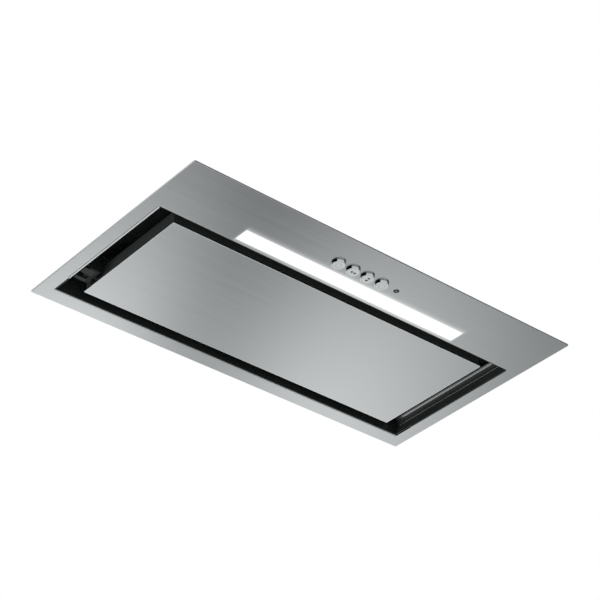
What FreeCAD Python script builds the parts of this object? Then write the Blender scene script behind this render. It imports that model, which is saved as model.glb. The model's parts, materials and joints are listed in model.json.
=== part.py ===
"""Built-in range hood, one STEP file for each piece.

Units are millimetres and +Z is up. The origin is the centre of the seat plane, where the cabinet
board rests on the face frame. +X is to the right of a person in front of the hood, and +Y goes to
the wall behind it.
"""

import math
import os

import FreeCAD
import Part

V = FreeCAD.Vector
X_AXIS = V(1, 0, 0)
Y_AXIS = V(0, 1, 0)
Z_AXIS = V(0, 0, 1)

# Sheet, fits and how far a cutting tool reaches past a piece
SHEET = 0.8
SLIDE_FIT = 0.05
LOOSE_FIT = 0.3
SEAT_GAP = 0.2
CUT = 1.0

# Face frame
FRAME_W = 520.0
FRAME_D = 285.0
FRAME_CORNER_R = 1.5
HEM_W = 8.0
EDGE_R = 0.5
SIDE_BORDER = 17.5
FRONT_BORDER = 79.5
BACK_BORDER = 19.5
LIP_H = 6.0
BEND_R = 1.0
RELIEF_L = 26.0
RELIEF_DEPTH = 1.0

# Suction liner
LINER_T = 1.2
KNEE_Z = 24.5
MOUTH_Z = 44.0
LINER_FLANGE = 12.0
COVE_Z = 2.7
COVE_R = 16.0
COVE_LOW_DEG = 16.0
COVE_HIGH_DEG = 53.0
COVE_END_GAP = 2.0
COVE_BACK_GAP = 7.6

# Perimeter panel
PANEL_SIDE_GAP = 27.0
PANEL_END_GAP = 14.0
PANEL_RECESS = 1.0
PANEL_HEM_W = 8.0
BACKING_INSET = 1.5
BACKING_T = 1.0
BACKING_H = 16.0
BACKING_EDGE_R = 2.0

# Panel hinge
HINGE_FROM_BACK = 23.0
HINGE_Z = 6.0
HINGE_PIN_R = 2.5
EAR_T = 1.5
EAR_L = 20.0
PIN_REACH = 4.5
LEVER_TRAVEL = 8.0
TAB_L = 4.0
TAB_W = 5.2
TAB_FROM_END = 1.0
SLOT_W = 6.0
BIG_PAD = 13.0
SMALL_PAD = 6.0
BRACKET_L = 20.0
BRACKET_DEPTH = 5.4
BRACKET_H = 12.0
BRACKET_STEP = 3.0
BRACKET_STEP_L = 7.0
HANGER_FROM_SIDE = 12.0
HANGER_T = 6.0
HANGER_D = 7.0
HANGER_FOOT_T = 2.0
HANGER_FOOT_OUT = 5.0
HANGER_ROOM = 1.0

# Panel catches
CATCH_FROM_SIDE = 36.0
CATCH_W = 14.0
CATCH_FROM_EDGE = 10.0
MAGNET_R = 5.0
MAGNET_H = 3.0
CATCH_EDGE_R = 2.0

# Grease filter
FILTER_SIDE = 77.5
FILTER_END = 14.0
FILTER_H = 10.0
FILTER_Z = 48.0
FILTER_GAP = 1.0
FILTER_RIM = 8.0
FILTER_SKIN = 1.0
FILTER_CORNER_R = 1.0
MESH_BAR_W = 2.0
MESH_BAR_H = 1.6
MESH_PITCH = 11.0
FILTER_TAB_FROM_SIDE = 65.0
FILTER_TAB_W = 24.0
FILTER_TAB_T = 2.0
FILTER_TAB_OUT = 2.0
LATCH_W = 50.0
LATCH_L = 17.0
LATCH_T = 2.0
LATCH_TRAVEL = 4.0
LATCH_FROM_EDGE = 1.0
TONGUE_OUT = 1.8
TONGUE_W = 20.0
FINGER_W = 40.0
FINGER_H = 8.0
LATCH_BASE_L = 34.0
LATCH_BASE_T = 1.0
LATCH_BASE_SIDE = 5.0
SPRING_EAR_W = 12.0
LATCH_RIVET_X = 18.0
LATCH_RIVET_R = 2.0
LEAF_W = 8.0
LEAF_T = 0.4
LEAF_FOLDS = 6

# Filter deck and body
DECK_Z = 60.0
BODY_SIDE_SET = 14.0
BODY_END_SET = 13.5
BODY_H = 290.0
FOOT_FLANGE = 5.0
CORNER_FLANGE = 12.0
FLANGE_GAP = 1.0

# Lamp
LAMP_W = 302.0
LAMP_D = 17.6
LAMP_FROM_OPENING = 5.6
LAMP_CORNER_R = 2.0
DIFFUSER_T = 2.4
DIFFUSER_RIM = 2.0
HOUSING_W = 312.0
HOUSING_D = 25.2
HOUSING_H = 14.8
HOUSING_T = 1.2
LED_BOARD_D = 12.0
LED_BOARD_T = 1.0
LED_COUNT = 24
LED_SIZE = 3.0
LED_H = 0.8

# Push buttons
BUTTON_X = [-40.8, -20.8, -0.8, 19.2]
BUTTONS_FROM_OPENING = 38.1
BUTTON_R = 7.8
BUTTON_OUT = 3.0
BUTTON_EDGE_R = 1.0
BUTTON_DISH = 0.3
BUTTON_RIM_R = 9.2
BUTTON_RIM_T = 1.2
BUTTON_TRAVEL = 1.5
STEM_R = 3.0
STEM_TOP = 10.0
DOME_LOW_R = 7.0
DOME_HIGH_R = 5.0
DOME_WALL = 0.8
GUIDE_END = 12.0
GUIDE_D = 21.2
GUIDE_WALL = 0.8
GUIDE_PLATE_Z = 7.0
GUIDE_PLATE_T = 2.0
GUIDE_TOP = 14.0
BOARD_T = 1.6
SWITCH_W = 6.0
SWITCH_H = 1.6
SWITCH_KNOB_R = 1.7
SWITCH_GAP = 0.1

# Indicator
INDICATOR_X = 40.0
INDICATOR_R = 3.0
INDICATOR_OUT = 0.4
INDICATOR_RIM_R = 4.2
LIGHT_PIPE_R = 2.0

# Electronics under the deck
BOX_W = 135.0
BOX_FROM_SIDE = 16.0
BOX_FROM_FRONT = 5.0
BOX_FROM_OPENING = 7.0
BOX_H = 36.0
BOX_WALL = 2.0
LID_T = 2.0
POST_R = 3.0
POST_H = 18.0
TRANSFORMER = (36.0, 30.0, 12.0)
RELAY = (15.0, 19.0, 14.0)
RELAY_COUNT = 3
CAPACITOR_R = 9.0
CAPACITOR_L = 30.0
COMPONENT_GAP = 1.0
CRADLE_INSET = 2.0
DRIVER_W = 80.0
DRIVER_D = 30.0
DRIVER_H = 22.0
DRIVER_EDGE_R = 2.0

# Cable gland
GLAND_FROM_SIDE = 56.0
GLAND_FROM_FRONT = 34.0
GLAND_BORE_R = 4.0
GLAND_THREAD_R = 8.0
GLAND_HEX = 22.0
GLAND_HEX_H = 5.0
GLAND_CAP_R = 9.5
GLAND_CAP_H = 13.0
GLAND_CAP_EDGE_R = 3.0
GLAND_THREAD_L = 9.0
GLAND_NUT_H = 5.0

# Mounting springs
CLIP_FROM_END = 54.0
CLIP_W = 22.0
CLIP_FOOT_Z = 19.3
CLIP_BELLY_Z = 25.0
CLIP_ROOT_Z = 44.0
CLIP_TOP_Z = 62.0
CLIP_REACH = 9.0

# Blower scroll
WHEEL_Z = 185.0
SPIRAL_STEP = 12.0
SPIRAL_R = 76.0
CUTOFF_DEG = 55.0
SCROLL_HALF = 56.0
SCROLL_T = 2.0
SCROLL_RIM = 7.0
SCROLL_RIM_T = 3.0
INLET_R = 60.0
INLET_LIP = 4.0

# Impeller and motor
WHEEL_R = 72.0
WHEEL_HALF = 48.0
BLADE_COUNT = 36
BLADE_IN_R = 58.0
BLADE_OUT_R = 71.0
BLADE_LEAN = 5.0
BLADE_ARC = 0.9
END_RING_T = 3.0
RING_LAP = 1.0
DISC_Y = 4.0
DISC_T = 1.6
HUB_R = 13.0
HUB_L = 16.0
SHAFT_R = 4.0
SHAFT_CLEAR = 1.0
MOTOR_R = 40.0
MOTOR_FRONT = -66.0
MOTOR_BACK = -10.0
MOTOR_WALL = 2.0
STATOR_L = 24.0
ROTOR_R = 23.5
AIR_GAP = 0.5
BEARING_R = 11.0
BEARING_W = 7.0
BEARING_SEAT_T = 2.0
ARM_COUNT = 3
ARM_W = 14.0
ARM_T = 2.0
BUSH_R = 8.0
BUSH_FROM_INLET = 1.0

# Outlet collar and dampers
COLLAR_R = 74.5
COLLAR_T = 2.0
COLLAR_H = 45.0
COLLAR_BASE_R = 95.0
COLLAR_BASE_T = 2.5
COLLAR_SCREW_R = 86.0
STOP_BEAD = 1.6
STOP_BEAD_H = 6.0
STOP_BEAD_EDGE_R = 1.5
LEDGE_R = 69.0
LEDGE_Z = 6.5
LEDGE_T = 2.0
FLAP_GAP = 1.0
FLAP_T = 1.5
FLAP_SPLIT = 0.5
KNUCKLE_R = 4.0
KNUCKLE_L = 16.0
KNUCKLE_CLEAR = 0.6
DAMPER_ROD_R = 2.0

# Screws
SCREW_R = 1.9
SCREW_HOLE_R = 2.1
SCREW_L = 6.0
HEAD_R = 3.8
HEAD_H = 2.2
HEAD_EDGE_R = 0.9
RECESS_W = 0.9
RECESS_SHARE = 0.55
CORNER_SCREW_SHARES = (0.3, 0.6, 0.9)

# Heights and edges worked out from the sizes above
FACE_Z = -2 * SHEET
SHEET_TOP = FACE_Z + SHEET
OPENING_W = FRAME_W - 2 * SIDE_BORDER
OPENING_D = FRAME_D - FRONT_BORDER - BACK_BORDER
OPENING_BACK = FRAME_D / 2 - BACK_BORDER
OPENING_FRONT = OPENING_BACK - OPENING_D
OPENING_Y = (OPENING_BACK + OPENING_FRONT) / 2
LINER_W = OPENING_W - 2 * (SEAT_GAP + LINER_T)
LINER_D = OPENING_D - 2 * (SEAT_GAP + LINER_T)
FILTER_W = OPENING_W - 2 * FILTER_SIDE
FILTER_D = OPENING_D - 2 * FILTER_END
FILTER_TAB_X = FILTER_W / 2 - FILTER_TAB_FROM_SIDE
MOUTH_W = FILTER_W + 2 * FILTER_GAP
MOUTH_D = FILTER_D + 2 * FILTER_GAP
MOUTH_FRONT = OPENING_Y - MOUTH_D / 2
MOUTH_BACK = OPENING_Y + MOUTH_D / 2
PANEL_W = OPENING_W - 2 * PANEL_SIDE_GAP
PANEL_D = OPENING_D - 2 * PANEL_END_GAP
PANEL_Z = FACE_Z + PANEL_RECESS
HINGE_Y = OPENING_Y + PANEL_D / 2 - HINGE_FROM_BACK
BACKING_Z = PANEL_Z + 2 * SHEET
BACKING_TOP = BACKING_Z + BACKING_H
BACKING_W = PANEL_W - 2 * BACKING_INSET
BACKING_D = PANEL_D - 2 * BACKING_INSET
CATCH_X = BACKING_W / 2 - CATCH_FROM_SIDE
FILTER_FRONT = OPENING_Y - FILTER_D / 2
FILTER_BACK = OPENING_Y + FILTER_D / 2
LATCH_TOP = FILTER_Z - LATCH_BASE_T - SEAT_GAP
TONGUE_TIP = MOUTH_FRONT - LINER_T - TONGUE_OUT
LAMP_Y = OPENING_FRONT - LAMP_FROM_OPENING - LAMP_D / 2
BUTTON_Y = OPENING_FRONT - BUTTONS_FROM_OPENING
BODY_W = FRAME_W - 2 * BODY_SIDE_SET
BODY_D = FRAME_D - 2 * BODY_END_SET
BODY_TOP = BODY_H - SHEET
WALL_X = BODY_W / 2
WALL_Y = BODY_D / 2
CLIP_Y = WALL_Y - CLIP_FROM_END
BOX_RIGHT = WALL_X - BOX_FROM_SIDE
BOX_LEFT = BOX_RIGHT - BOX_W
BOX_FRONT = -WALL_Y + BOX_FROM_FRONT
BOX_BACK = OPENING_FRONT - BOX_FROM_OPENING
DRIVER_LEFT = -WALL_X + BOX_FROM_SIDE
GLAND_X = WALL_X - GLAND_FROM_SIDE
GLAND_Y = -WALL_Y + GLAND_FROM_FRONT
CUTOFF_U = SPIRAL_R * math.cos(math.radians(CUTOFF_DEG)) - SPIRAL_STEP / 2
OUTER_U = SPIRAL_STEP / 2 + SPIRAL_R + 3 * SPIRAL_STEP
WHEEL_X = -(CUTOFF_U + OUTER_U) / 2
SCROLL_FRONT = -SCROLL_HALF - SCROLL_T
ARM_R = INLET_R + SCROLL_T + BUSH_FROM_INLET + BUSH_R
LEDGE_TOP = BODY_H + LEDGE_Z + LEDGE_T
FLAP_Z = LEDGE_TOP + SEAT_GAP
ROD_Z = FLAP_Z + KNUCKLE_R


# Shared shapes

def box(x0, x1, y0, y1, z0, z1):
    return Part.makeBox(x1 - x0, y1 - y0, z1 - z0, V(x0, y0, z0))


def slab(width, depth, y_mid, z0, z1):
    """Box that is centred on x = 0 and y = y_mid."""
    return box(-width / 2, width / 2, y_mid - depth / 2, y_mid + depth / 2, z0, z1)


def rod(radius, start, end):
    axis = end - start
    return Part.makeCylinder(radius, axis.Length, start, axis)


def tube(outer_r, inner_r, start, end):
    return rod(outer_r, start, end).cut(rod(inner_r, start, end))


def joined(pieces):
    return pieces[0].fuse(pieces[1:]).removeSplitter()


def mirrored(shape):
    """The same piece on the other side of the plane x = 0."""
    return shape.mirror(V(0, 0, 0), X_AXIS)


def pair(shape):
    return Part.makeCompound([shape, mirrored(shape)])


def along(edge, axis):
    """True for a straight edge that runs along an axis."""
    direction = edge.tangentAt(edge.FirstParameter)
    return abs(direction.dot(axis)) > 0.999


def at_height(edge, z):
    return abs(edge.BoundBox.ZMin - z) < 0.001 and abs(edge.BoundBox.ZMax - z) < 0.001


def rounded_slab(width, depth, y_mid, z0, z1, radius):
    """Slab with rounded upright edges."""
    plain = slab(width, depth, y_mid, z0, z1)
    return plain.makeFillet(radius, [e for e in plain.Edges if along(e, Z_AXIS)])


def rectangle(width, depth, y_mid, z):
    x = width / 2
    front = y_mid - depth / 2
    back = y_mid + depth / 2
    corners = [V(-x, front, z), V(x, front, z), V(x, back, z), V(-x, back, z), V(-x, front, z)]
    return Part.makePolygon(corners)


def extruded(points, direction):
    """Solid from a closed outline of straight runs."""
    outline = Part.makePolygon(points + [points[0]])
    return Part.Face(outline).extrude(direction)


def hexagon(across_flats, x, y, z, height):
    corner_r = across_flats / math.sqrt(3)
    points = []
    for i in range(6):
        angle = math.radians(60 * i)
        points.append(V(x + corner_r * math.cos(angle), y + corner_r * math.sin(angle), z))
    return extruded(points, V(0, 0, height))


def save(name, shape):
    shape.exportStep("parts/" + name + ".step")


# Screws, each given by the point under its head and the way its shank goes

def pan_screw(seat, way, length):
    head = rod(HEAD_R, seat - way * HEAD_H, seat)
    top = seat - way * HEAD_H
    rim = [e for e in head.Edges if abs((e.CenterOfMass - top).dot(way)) < 0.001 and not along(e, way)]
    head = head.makeFillet(HEAD_EDGE_R, rim)
    side = V(way.y, way.z, way.x)
    cross = way.cross(side)
    arm = HEAD_R * RECESS_SHARE
    for line in (side, cross):
        slot = rod(RECESS_W / 2, top - line * arm, top + line * arm)
        head = head.cut(slot)
    return joined([head, rod(SCREW_R, seat, seat + way * length)])


def screw_hole(seat, way):
    return rod(SCREW_HOLE_R, seat - way * SCREW_L, seat + way * 2 * SCREW_L)


def corner_screws():
    """Screws through both side walls into the return flanges of the front and back walls."""
    seats = []
    for side in (-1, 1):
        for y in (-WALL_Y + CORNER_FLANGE / 2, WALL_Y - CORNER_FLANGE / 2):
            for share in CORNER_SCREW_SHARES:
                seats.append((V(side * WALL_X, y, share * BODY_H), V(-side, 0, 0)))
    return seats


def lid_screws():
    """Screws through the top plate into the side walls' top flanges."""
    x = WALL_X - SHEET - CORNER_FLANGE / 2
    seats = []
    for side in (-1, 1):
        for y in (-BODY_D / 4, BODY_D / 4):
            seats.append((V(side * x, y, BODY_H), V(0, 0, -1)))
    return seats


def collar_screws():
    seats = []
    for i in range(4):
        angle = math.radians(45 + 90 * i)
        x = COLLAR_SCREW_R * math.cos(angle)
        y = COLLAR_SCREW_R * math.sin(angle)
        seats.append((V(x, y, BODY_H + COLLAR_BASE_T), V(0, 0, -1)))
    return seats


def clip_screws():
    """Screws that hold the mounting springs to the side walls."""
    seats = []
    z = (CLIP_ROOT_Z + CLIP_TOP_Z) / 2
    for side in (-1, 1):
        for y in (-CLIP_Y, CLIP_Y):
            seats.append((V(side * (WALL_X + SHEET), y, z), V(-side, 0, 0)))
    return seats


def drilled(shape, seats):
    return shape.cut([screw_hole(seat, way) for seat, way in seats])


# Face, liner and panel

def face_frame():
    blank = rounded_slab(FRAME_W, FRAME_D, 0, FACE_Z, 0, FRAME_CORNER_R)
    blank = blank.makeFillet(EDGE_R, [e for e in blank.Edges if at_height(e, FACE_Z)])
    inside_hem = slab(FRAME_W - 2 * HEM_W, FRAME_D - 2 * HEM_W, 0, SHEET_TOP, CUT)
    blank = blank.cut(inside_hem)
    lips = slab(OPENING_W + 2 * SHEET, OPENING_D + 2 * SHEET, OPENING_Y, SHEET_TOP, SHEET_TOP + LIP_H)
    blank = joined([blank, lips])
    opening = slab(OPENING_W, OPENING_D, OPENING_Y, FACE_Z - CUT, SHEET_TOP + LIP_H + CUT)
    blank = blank.cut(opening)
    bends = []
    for edge in blank.Edges:
        middle = edge.CenterOfMass
        across = abs(middle.x) <= OPENING_W / 2 + BEND_R
        along_depth = OPENING_FRONT - BEND_R <= middle.y <= OPENING_BACK + BEND_R
        if at_height(edge, FACE_Z) and across and along_depth:
            bends.append(edge)
    blank = blank.makeFillet(BEND_R, bends)
    top = SHEET_TOP + LIP_H + CUT
    relief = box(OPENING_W / 2 - CUT, OPENING_W / 2 + RELIEF_DEPTH, OPENING_BACK - RELIEF_L,
                 OPENING_BACK, FACE_Z - CUT, top)
    split_w = 2 * SHEET
    split = box(OPENING_W / 2 - split_w, OPENING_W / 2 + split_w, OPENING_FRONT - split_w,
                OPENING_FRONT + split_w, SHEET_TOP, top)
    lamp = rounded_slab(LAMP_W, LAMP_D, LAMP_Y, FACE_Z - CUT, CUT, LAMP_CORNER_R)
    holes = [relief, mirrored(relief), split, mirrored(split), lamp]
    for x in BUTTON_X:
        holes.append(rod(BUTTON_R + LOOSE_FIT, V(x, BUTTON_Y, FACE_Z - CUT), V(x, BUTTON_Y, CUT)))
    lens_low = V(INDICATOR_X, BUTTON_Y, FACE_Z - CUT)
    holes.append(rod(INDICATOR_R + LOOSE_FIT, lens_low, V(INDICATOR_X, BUTTON_Y, CUT)))
    return blank.cut(holes)


def funnel(grow, lift, bottom, top):
    """Space inside the liner, made wider by grow, with its slope raised by lift."""
    low = slab(LINER_W + 2 * grow, LINER_D + 2 * grow, OPENING_Y, bottom, KNEE_Z + lift)
    high = slab(MOUTH_W + 2 * grow, MOUTH_D + 2 * grow, OPENING_Y, MOUTH_Z + lift, top)
    rim_low = rectangle(LINER_W + 2 * grow, LINER_D + 2 * grow, OPENING_Y, KNEE_Z + lift)
    rim_high = rectangle(MOUTH_W + 2 * grow, MOUTH_D + 2 * grow, OPENING_Y, MOUTH_Z + lift)
    slope = Part.makeLoft([rim_low, rim_high], True, True)
    return joined([low, slope, high])


def side_cove(end_y):
    """Curved deflector on the right wall, from the liner's front wall to end_y."""
    wall_x = LINER_W / 2
    start_y = OPENING_Y - LINER_D / 2 - LINER_T / 2
    arc_points = []
    for degrees in (COVE_LOW_DEG, (COVE_LOW_DEG + COVE_HIGH_DEG) / 2, COVE_HIGH_DEG):
        angle = math.radians(degrees)
        inwards = COVE_R * (1 - math.cos(angle))
        arc_points.append(V(wall_x - inwards, start_y, COVE_Z + COVE_R * math.sin(angle)))
    low, middle, high = arc_points
    in_wall = wall_x + LINER_T / 2
    back = Part.makePolygon([high, V(in_wall, start_y, high.z), V(in_wall, start_y, low.z), low])
    outline = Part.Wire([Part.Arc(low, middle, high).toShape()] + back.Edges)
    return Part.Face(outline).extrude(V(0, end_y - start_y, 0))


def suction_liner():
    flange_w = MOUTH_W + 2 * (LINER_T + LINER_FLANGE)
    flange_d = MOUTH_D + 2 * (LINER_T + LINER_FLANGE)
    flange = slab(flange_w, flange_d, OPENING_Y, DECK_Z - LINER_T, DECK_Z)
    shell = joined([funnel(LINER_T, LINER_T, SHEET_TOP, DECK_Z), flange])
    shell = shell.cut(funnel(0, 0, SHEET_TOP - CUT, DECK_Z + CUT))
    left_end = HINGE_Y - SLOT_W / 2 - BIG_PAD - COVE_END_GAP
    right_end = OPENING_Y + LINER_D / 2 - COVE_BACK_GAP
    shell = joined([shell, side_cove(right_end), mirrored(side_cove(left_end))])
    slot_x = TONGUE_W / 2 + LOOSE_FIT
    latch_slot = box(-slot_x, slot_x, MOUTH_FRONT - 2 * LINER_T, MOUTH_FRONT + CUT,
                     LATCH_TOP - LATCH_T - SEAT_GAP, LATCH_TOP + LOOSE_FIT)
    half_tab = FILTER_TAB_W / 2 + LOOSE_FIT
    tab_z = FILTER_Z + FILTER_TAB_T
    tab_slot = box(FILTER_TAB_X - half_tab, FILTER_TAB_X + half_tab, MOUTH_BACK - CUT,
                   MOUTH_BACK + 2 * LINER_T, tab_z, tab_z + FILTER_TAB_T + LOOSE_FIT)
    return shell.cut([latch_slot, tab_slot, mirrored(tab_slot)])


def perimeter_panel():
    top = PANEL_Z + 2 * SHEET
    blank = rounded_slab(PANEL_W, PANEL_D, OPENING_Y, PANEL_Z, top, FRAME_CORNER_R)
    blank = blank.makeFillet(EDGE_R, [e for e in blank.Edges if at_height(e, PANEL_Z)])
    inside_hem = slab(PANEL_W - 2 * PANEL_HEM_W, PANEL_D - 2 * PANEL_HEM_W, OPENING_Y,
                      PANEL_Z + SHEET, top + CUT)
    return blank.cut(inside_hem)


def pin_axis(x0, x1, radius):
    """Round bar along the hinge line."""
    return rod(radius, V(x0, HINGE_Y, HINGE_Z), V(x1, HINGE_Y, HINGE_Z))


def panel_backing():
    """Inverted pan that stiffens the panel and carries the hinge ears."""
    pan = slab(BACKING_W, BACKING_D, OPENING_Y, BACKING_Z, BACKING_TOP)
    outside = [e for e in pan.Edges if along(e, Z_AXIS) or at_height(e, BACKING_TOP)]
    pan = pan.makeFillet(BACKING_EDGE_R, outside)
    hollow = slab(BACKING_W - 2 * BACKING_T, BACKING_D - 2 * BACKING_T, OPENING_Y, BACKING_Z,
                  BACKING_TOP - BACKING_T)
    upper = [e for e in hollow.Edges if along(e, Z_AXIS) or at_height(e, BACKING_TOP - BACKING_T)]
    hollow = hollow.makeFillet(BACKING_EDGE_R - BACKING_T, upper)
    bores = pin_axis(-BACKING_W / 2 - CUT, -BACKING_W / 2 + 2 * BACKING_T, HINGE_PIN_R + LOOSE_FIT)
    arm_x = BACKING_W / 2 - HANGER_FROM_SIDE
    hanger_slot = box(arm_x - HANGER_ROOM, arm_x + HANGER_T + HANGER_ROOM,
                      HINGE_Y - HANGER_D / 2 - HANGER_ROOM, OPENING_Y + BACKING_D / 2 + CUT,
                      BACKING_Z - CUT, BACKING_TOP + CUT)
    return pan.cut([hollow, bores, mirrored(bores), hanger_slot])


def panel_ear():
    """Left ear, a plate with the bearing hole, on the outside of the backing pan."""
    x = -BACKING_W / 2
    plate = box(x - EAR_T, x, HINGE_Y - EAR_L / 2, HINGE_Y + EAR_L / 2, BACKING_Z + SEAT_GAP,
                BACKING_TOP - BACKING_EDGE_R)
    plate = plate.makeFillet(BACKING_EDGE_R, [e for e in plate.Edges if along(e, X_AXIS)])
    return plate.cut(pin_axis(x - 2 * EAR_T, x + EAR_T, HINGE_PIN_R + SLIDE_FIT))


def lever_outer_x():
    """Outer end of the left hinge pin at rest."""
    return -LINER_W / 2 + LINER_T / 2 + SEAT_GAP + LEVER_TRAVEL + LOOSE_FIT


def hinge_bracket():
    """Left bracket: two pads with a slot for the lever's tab, and a blind bore for its pin."""
    wall_x = -LINER_W / 2
    inner_x = wall_x + BRACKET_L
    front = HINGE_Y - SLOT_W / 2 - BIG_PAD
    back = HINGE_Y + SLOT_W / 2 + SMALL_PAD
    low = HINGE_Z - BRACKET_DEPTH
    block = box(wall_x, inner_x, front, back, low, low + BRACKET_H)
    step = box(wall_x, wall_x + BRACKET_STEP_L, front, back, low, low + BRACKET_STEP)
    block = block.cut(step)
    block = block.makeFillet(EDGE_R, [e for e in block.Edges if at_height(e, low)])
    tab_x = lever_outer_x() + TAB_FROM_END
    slot = box(tab_x - LEVER_TRAVEL - LOOSE_FIT, tab_x + TAB_L + LOOSE_FIT, HINGE_Y - SLOT_W / 2,
               HINGE_Y + SLOT_W / 2, low - CUT, HINGE_Z)
    bore = pin_axis(wall_x + LINER_T / 2, inner_x + CUT, HINGE_PIN_R + SLIDE_FIT)
    return block.cut([slot, bore])


def hinge_lever():
    """Left hinge pin with the tab that a thumb pushes outwards."""
    outer_x = lever_outer_x()
    pin = pin_axis(outer_x, -BACKING_W / 2 + PIN_REACH, HINGE_PIN_R)
    tip = [e for e in pin.Edges if abs(e.BoundBox.XMin + BACKING_W / 2 - PIN_REACH) < 0.001]
    pin = pin.makeChamfer(EDGE_R, tip)
    tab_x = outer_x + TAB_FROM_END
    low = HINGE_Z - BRACKET_DEPTH + BRACKET_STEP / 2
    tab = box(tab_x, tab_x + TAB_L, HINGE_Y - TAB_W / 2, HINGE_Y + TAB_W / 2, low, HINGE_Z)
    neck = box(tab_x, tab_x + TAB_L, HINGE_Y - HINGE_PIN_R, HINGE_Y + HINGE_PIN_R, low, HINGE_Z)
    below_bore = box(tab_x, tab_x + TAB_L, HINGE_Y - TAB_W, HINGE_Y + TAB_W, low, HINGE_Z - HINGE_PIN_R)
    return joined([pin, tab.common(below_bore), neck.common(tab)])


def hinge_hanger():
    """Right hinge: an arm under the liner's slope, with a pin that points outwards into the panel's ear."""
    arm_x = BACKING_W / 2 - HANGER_FROM_SIDE
    front = HINGE_Y - HANGER_D / 2
    back = HINGE_Y + HANGER_D / 2
    arm = box(arm_x, arm_x + HANGER_T, front, back, HINGE_Z, MOUTH_Z)
    eye = pin_axis(arm_x, arm_x + HANGER_T, HANGER_D / 2)
    tip_x = BACKING_W / 2 + EAR_T - SEAT_GAP
    pin = pin_axis(arm_x + HANGER_T / 2, tip_x, HINGE_PIN_R)
    foot = box(arm_x - HANGER_FOOT_OUT, arm_x + HANGER_T + HANGER_FOOT_OUT, front - HANGER_FOOT_OUT,
               back + HANGER_FOOT_OUT, KNEE_Z, MOUTH_Z)
    foot = foot.cut(funnel(0, -HANGER_FOOT_T, SHEET_TOP, MOUTH_Z))
    return joined([arm, eye, pin, foot]).common(funnel(0, 0, SHEET_TOP, MOUTH_Z + CUT))


def catch_centre():
    y = OPENING_Y - BACKING_D / 2 + CATCH_FROM_EDGE
    return V(CATCH_X, y, BACKING_TOP + LOOSE_FIT)


def magnet_holder():
    """Right post, from the liner's slope down to the magnet above the panel."""
    centre = catch_centre()
    half = CATCH_W / 2
    post = box(centre.x - half, centre.x + half, centre.y - half, centre.y + half, centre.z, DECK_Z)
    post = post.makeFillet(CATCH_EDGE_R, [e for e in post.Edges if along(e, Z_AXIS)])
    post = post.common(funnel(0, 0, 0, DECK_Z))
    pocket = rod(MAGNET_R + SLIDE_FIT, centre - Z_AXIS, centre + Z_AXIS * MAGNET_H)
    return post.cut(pocket)


def catch_magnet():
    centre = catch_centre()
    return rod(MAGNET_R, centre, centre + Z_AXIS * MAGNET_H)


# Grease filter

def latch_rivet_y():
    return FILTER_FRONT + LATCH_L / 2


def filter_frame():
    top = FILTER_Z + FILTER_H
    rim = slab(FILTER_W, FILTER_D, OPENING_Y, FILTER_Z, top)
    rim = rim.makeFillet(FILTER_CORNER_R, [e for e in rim.Edges if along(e, Z_AXIS)])
    window = slab(FILTER_W - 2 * FILTER_RIM, FILTER_D - 2 * FILTER_RIM, OPENING_Y, FILTER_Z - CUT, top + CUT)
    groove = slab(FILTER_W - 2 * FILTER_SKIN, FILTER_D - 2 * FILTER_SKIN, OPENING_Y, FILTER_Z + FILTER_SKIN,
                  top - FILTER_SKIN)
    rim = rim.cut([window, groove])
    half_base = LATCH_W / 2 + LATCH_BASE_SIDE
    base = box(-half_base, half_base, FILTER_FRONT, FILTER_FRONT + LATCH_BASE_L, FILTER_Z - LATCH_BASE_T,
               FILTER_Z)
    ear_y = FILTER_FRONT + LATCH_BASE_L - LATCH_BASE_T
    ear = box(-SPRING_EAR_W / 2, SPRING_EAR_W / 2, ear_y, ear_y + LATCH_BASE_T,
              LATCH_TOP - LATCH_T - FINGER_H, FILTER_Z)
    tab_z = FILTER_Z + FILTER_TAB_T
    tab_end = MOUTH_BACK + LINER_T + FILTER_TAB_OUT
    tab = box(FILTER_TAB_X - FILTER_TAB_W / 2, FILTER_TAB_X + FILTER_TAB_W / 2, FILTER_BACK - FILTER_SKIN,
              tab_end, tab_z, tab_z + FILTER_TAB_T)
    pieces = [rim, base, ear, tab, mirrored(tab)]
    low = LATCH_TOP - LATCH_T - SEAT_GAP
    for x in (-LATCH_RIVET_X, LATCH_RIVET_X):
        place = V(x, latch_rivet_y(), low)
        pieces.append(rod(LATCH_RIVET_R, place, V(x, latch_rivet_y(), FILTER_Z)))
        pieces.append(rod(2 * LATCH_RIVET_R, place - Z_AXIS, place))
    return joined(pieces)


def filter_mesh():
    """Two crossed layers of flat bars, with their ends in the frame's groove."""
    middle = FILTER_Z + FILTER_H / 2
    reach_x = FILTER_W / 2 - FILTER_SKIN - SEAT_GAP
    reach_y = FILTER_D / 2 - FILTER_SKIN - SEAT_GAP
    half = MESH_BAR_W / 2
    bars = []
    rows = int(FILTER_D / MESH_PITCH / 2)
    for i in range(-rows, rows + 1):
        y = OPENING_Y + i * MESH_PITCH
        bars.append(box(-reach_x, reach_x, y - half, y + half, middle - MESH_BAR_H, middle))
    columns = int((FILTER_W / 2 - FILTER_SKIN) / MESH_PITCH)
    for i in range(-columns, columns + 1):
        x = i * MESH_PITCH
        bars.append(box(x - half, x + half, OPENING_Y - reach_y, OPENING_Y + reach_y, middle,
                        middle + MESH_BAR_H))
    return joined(bars)


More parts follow.
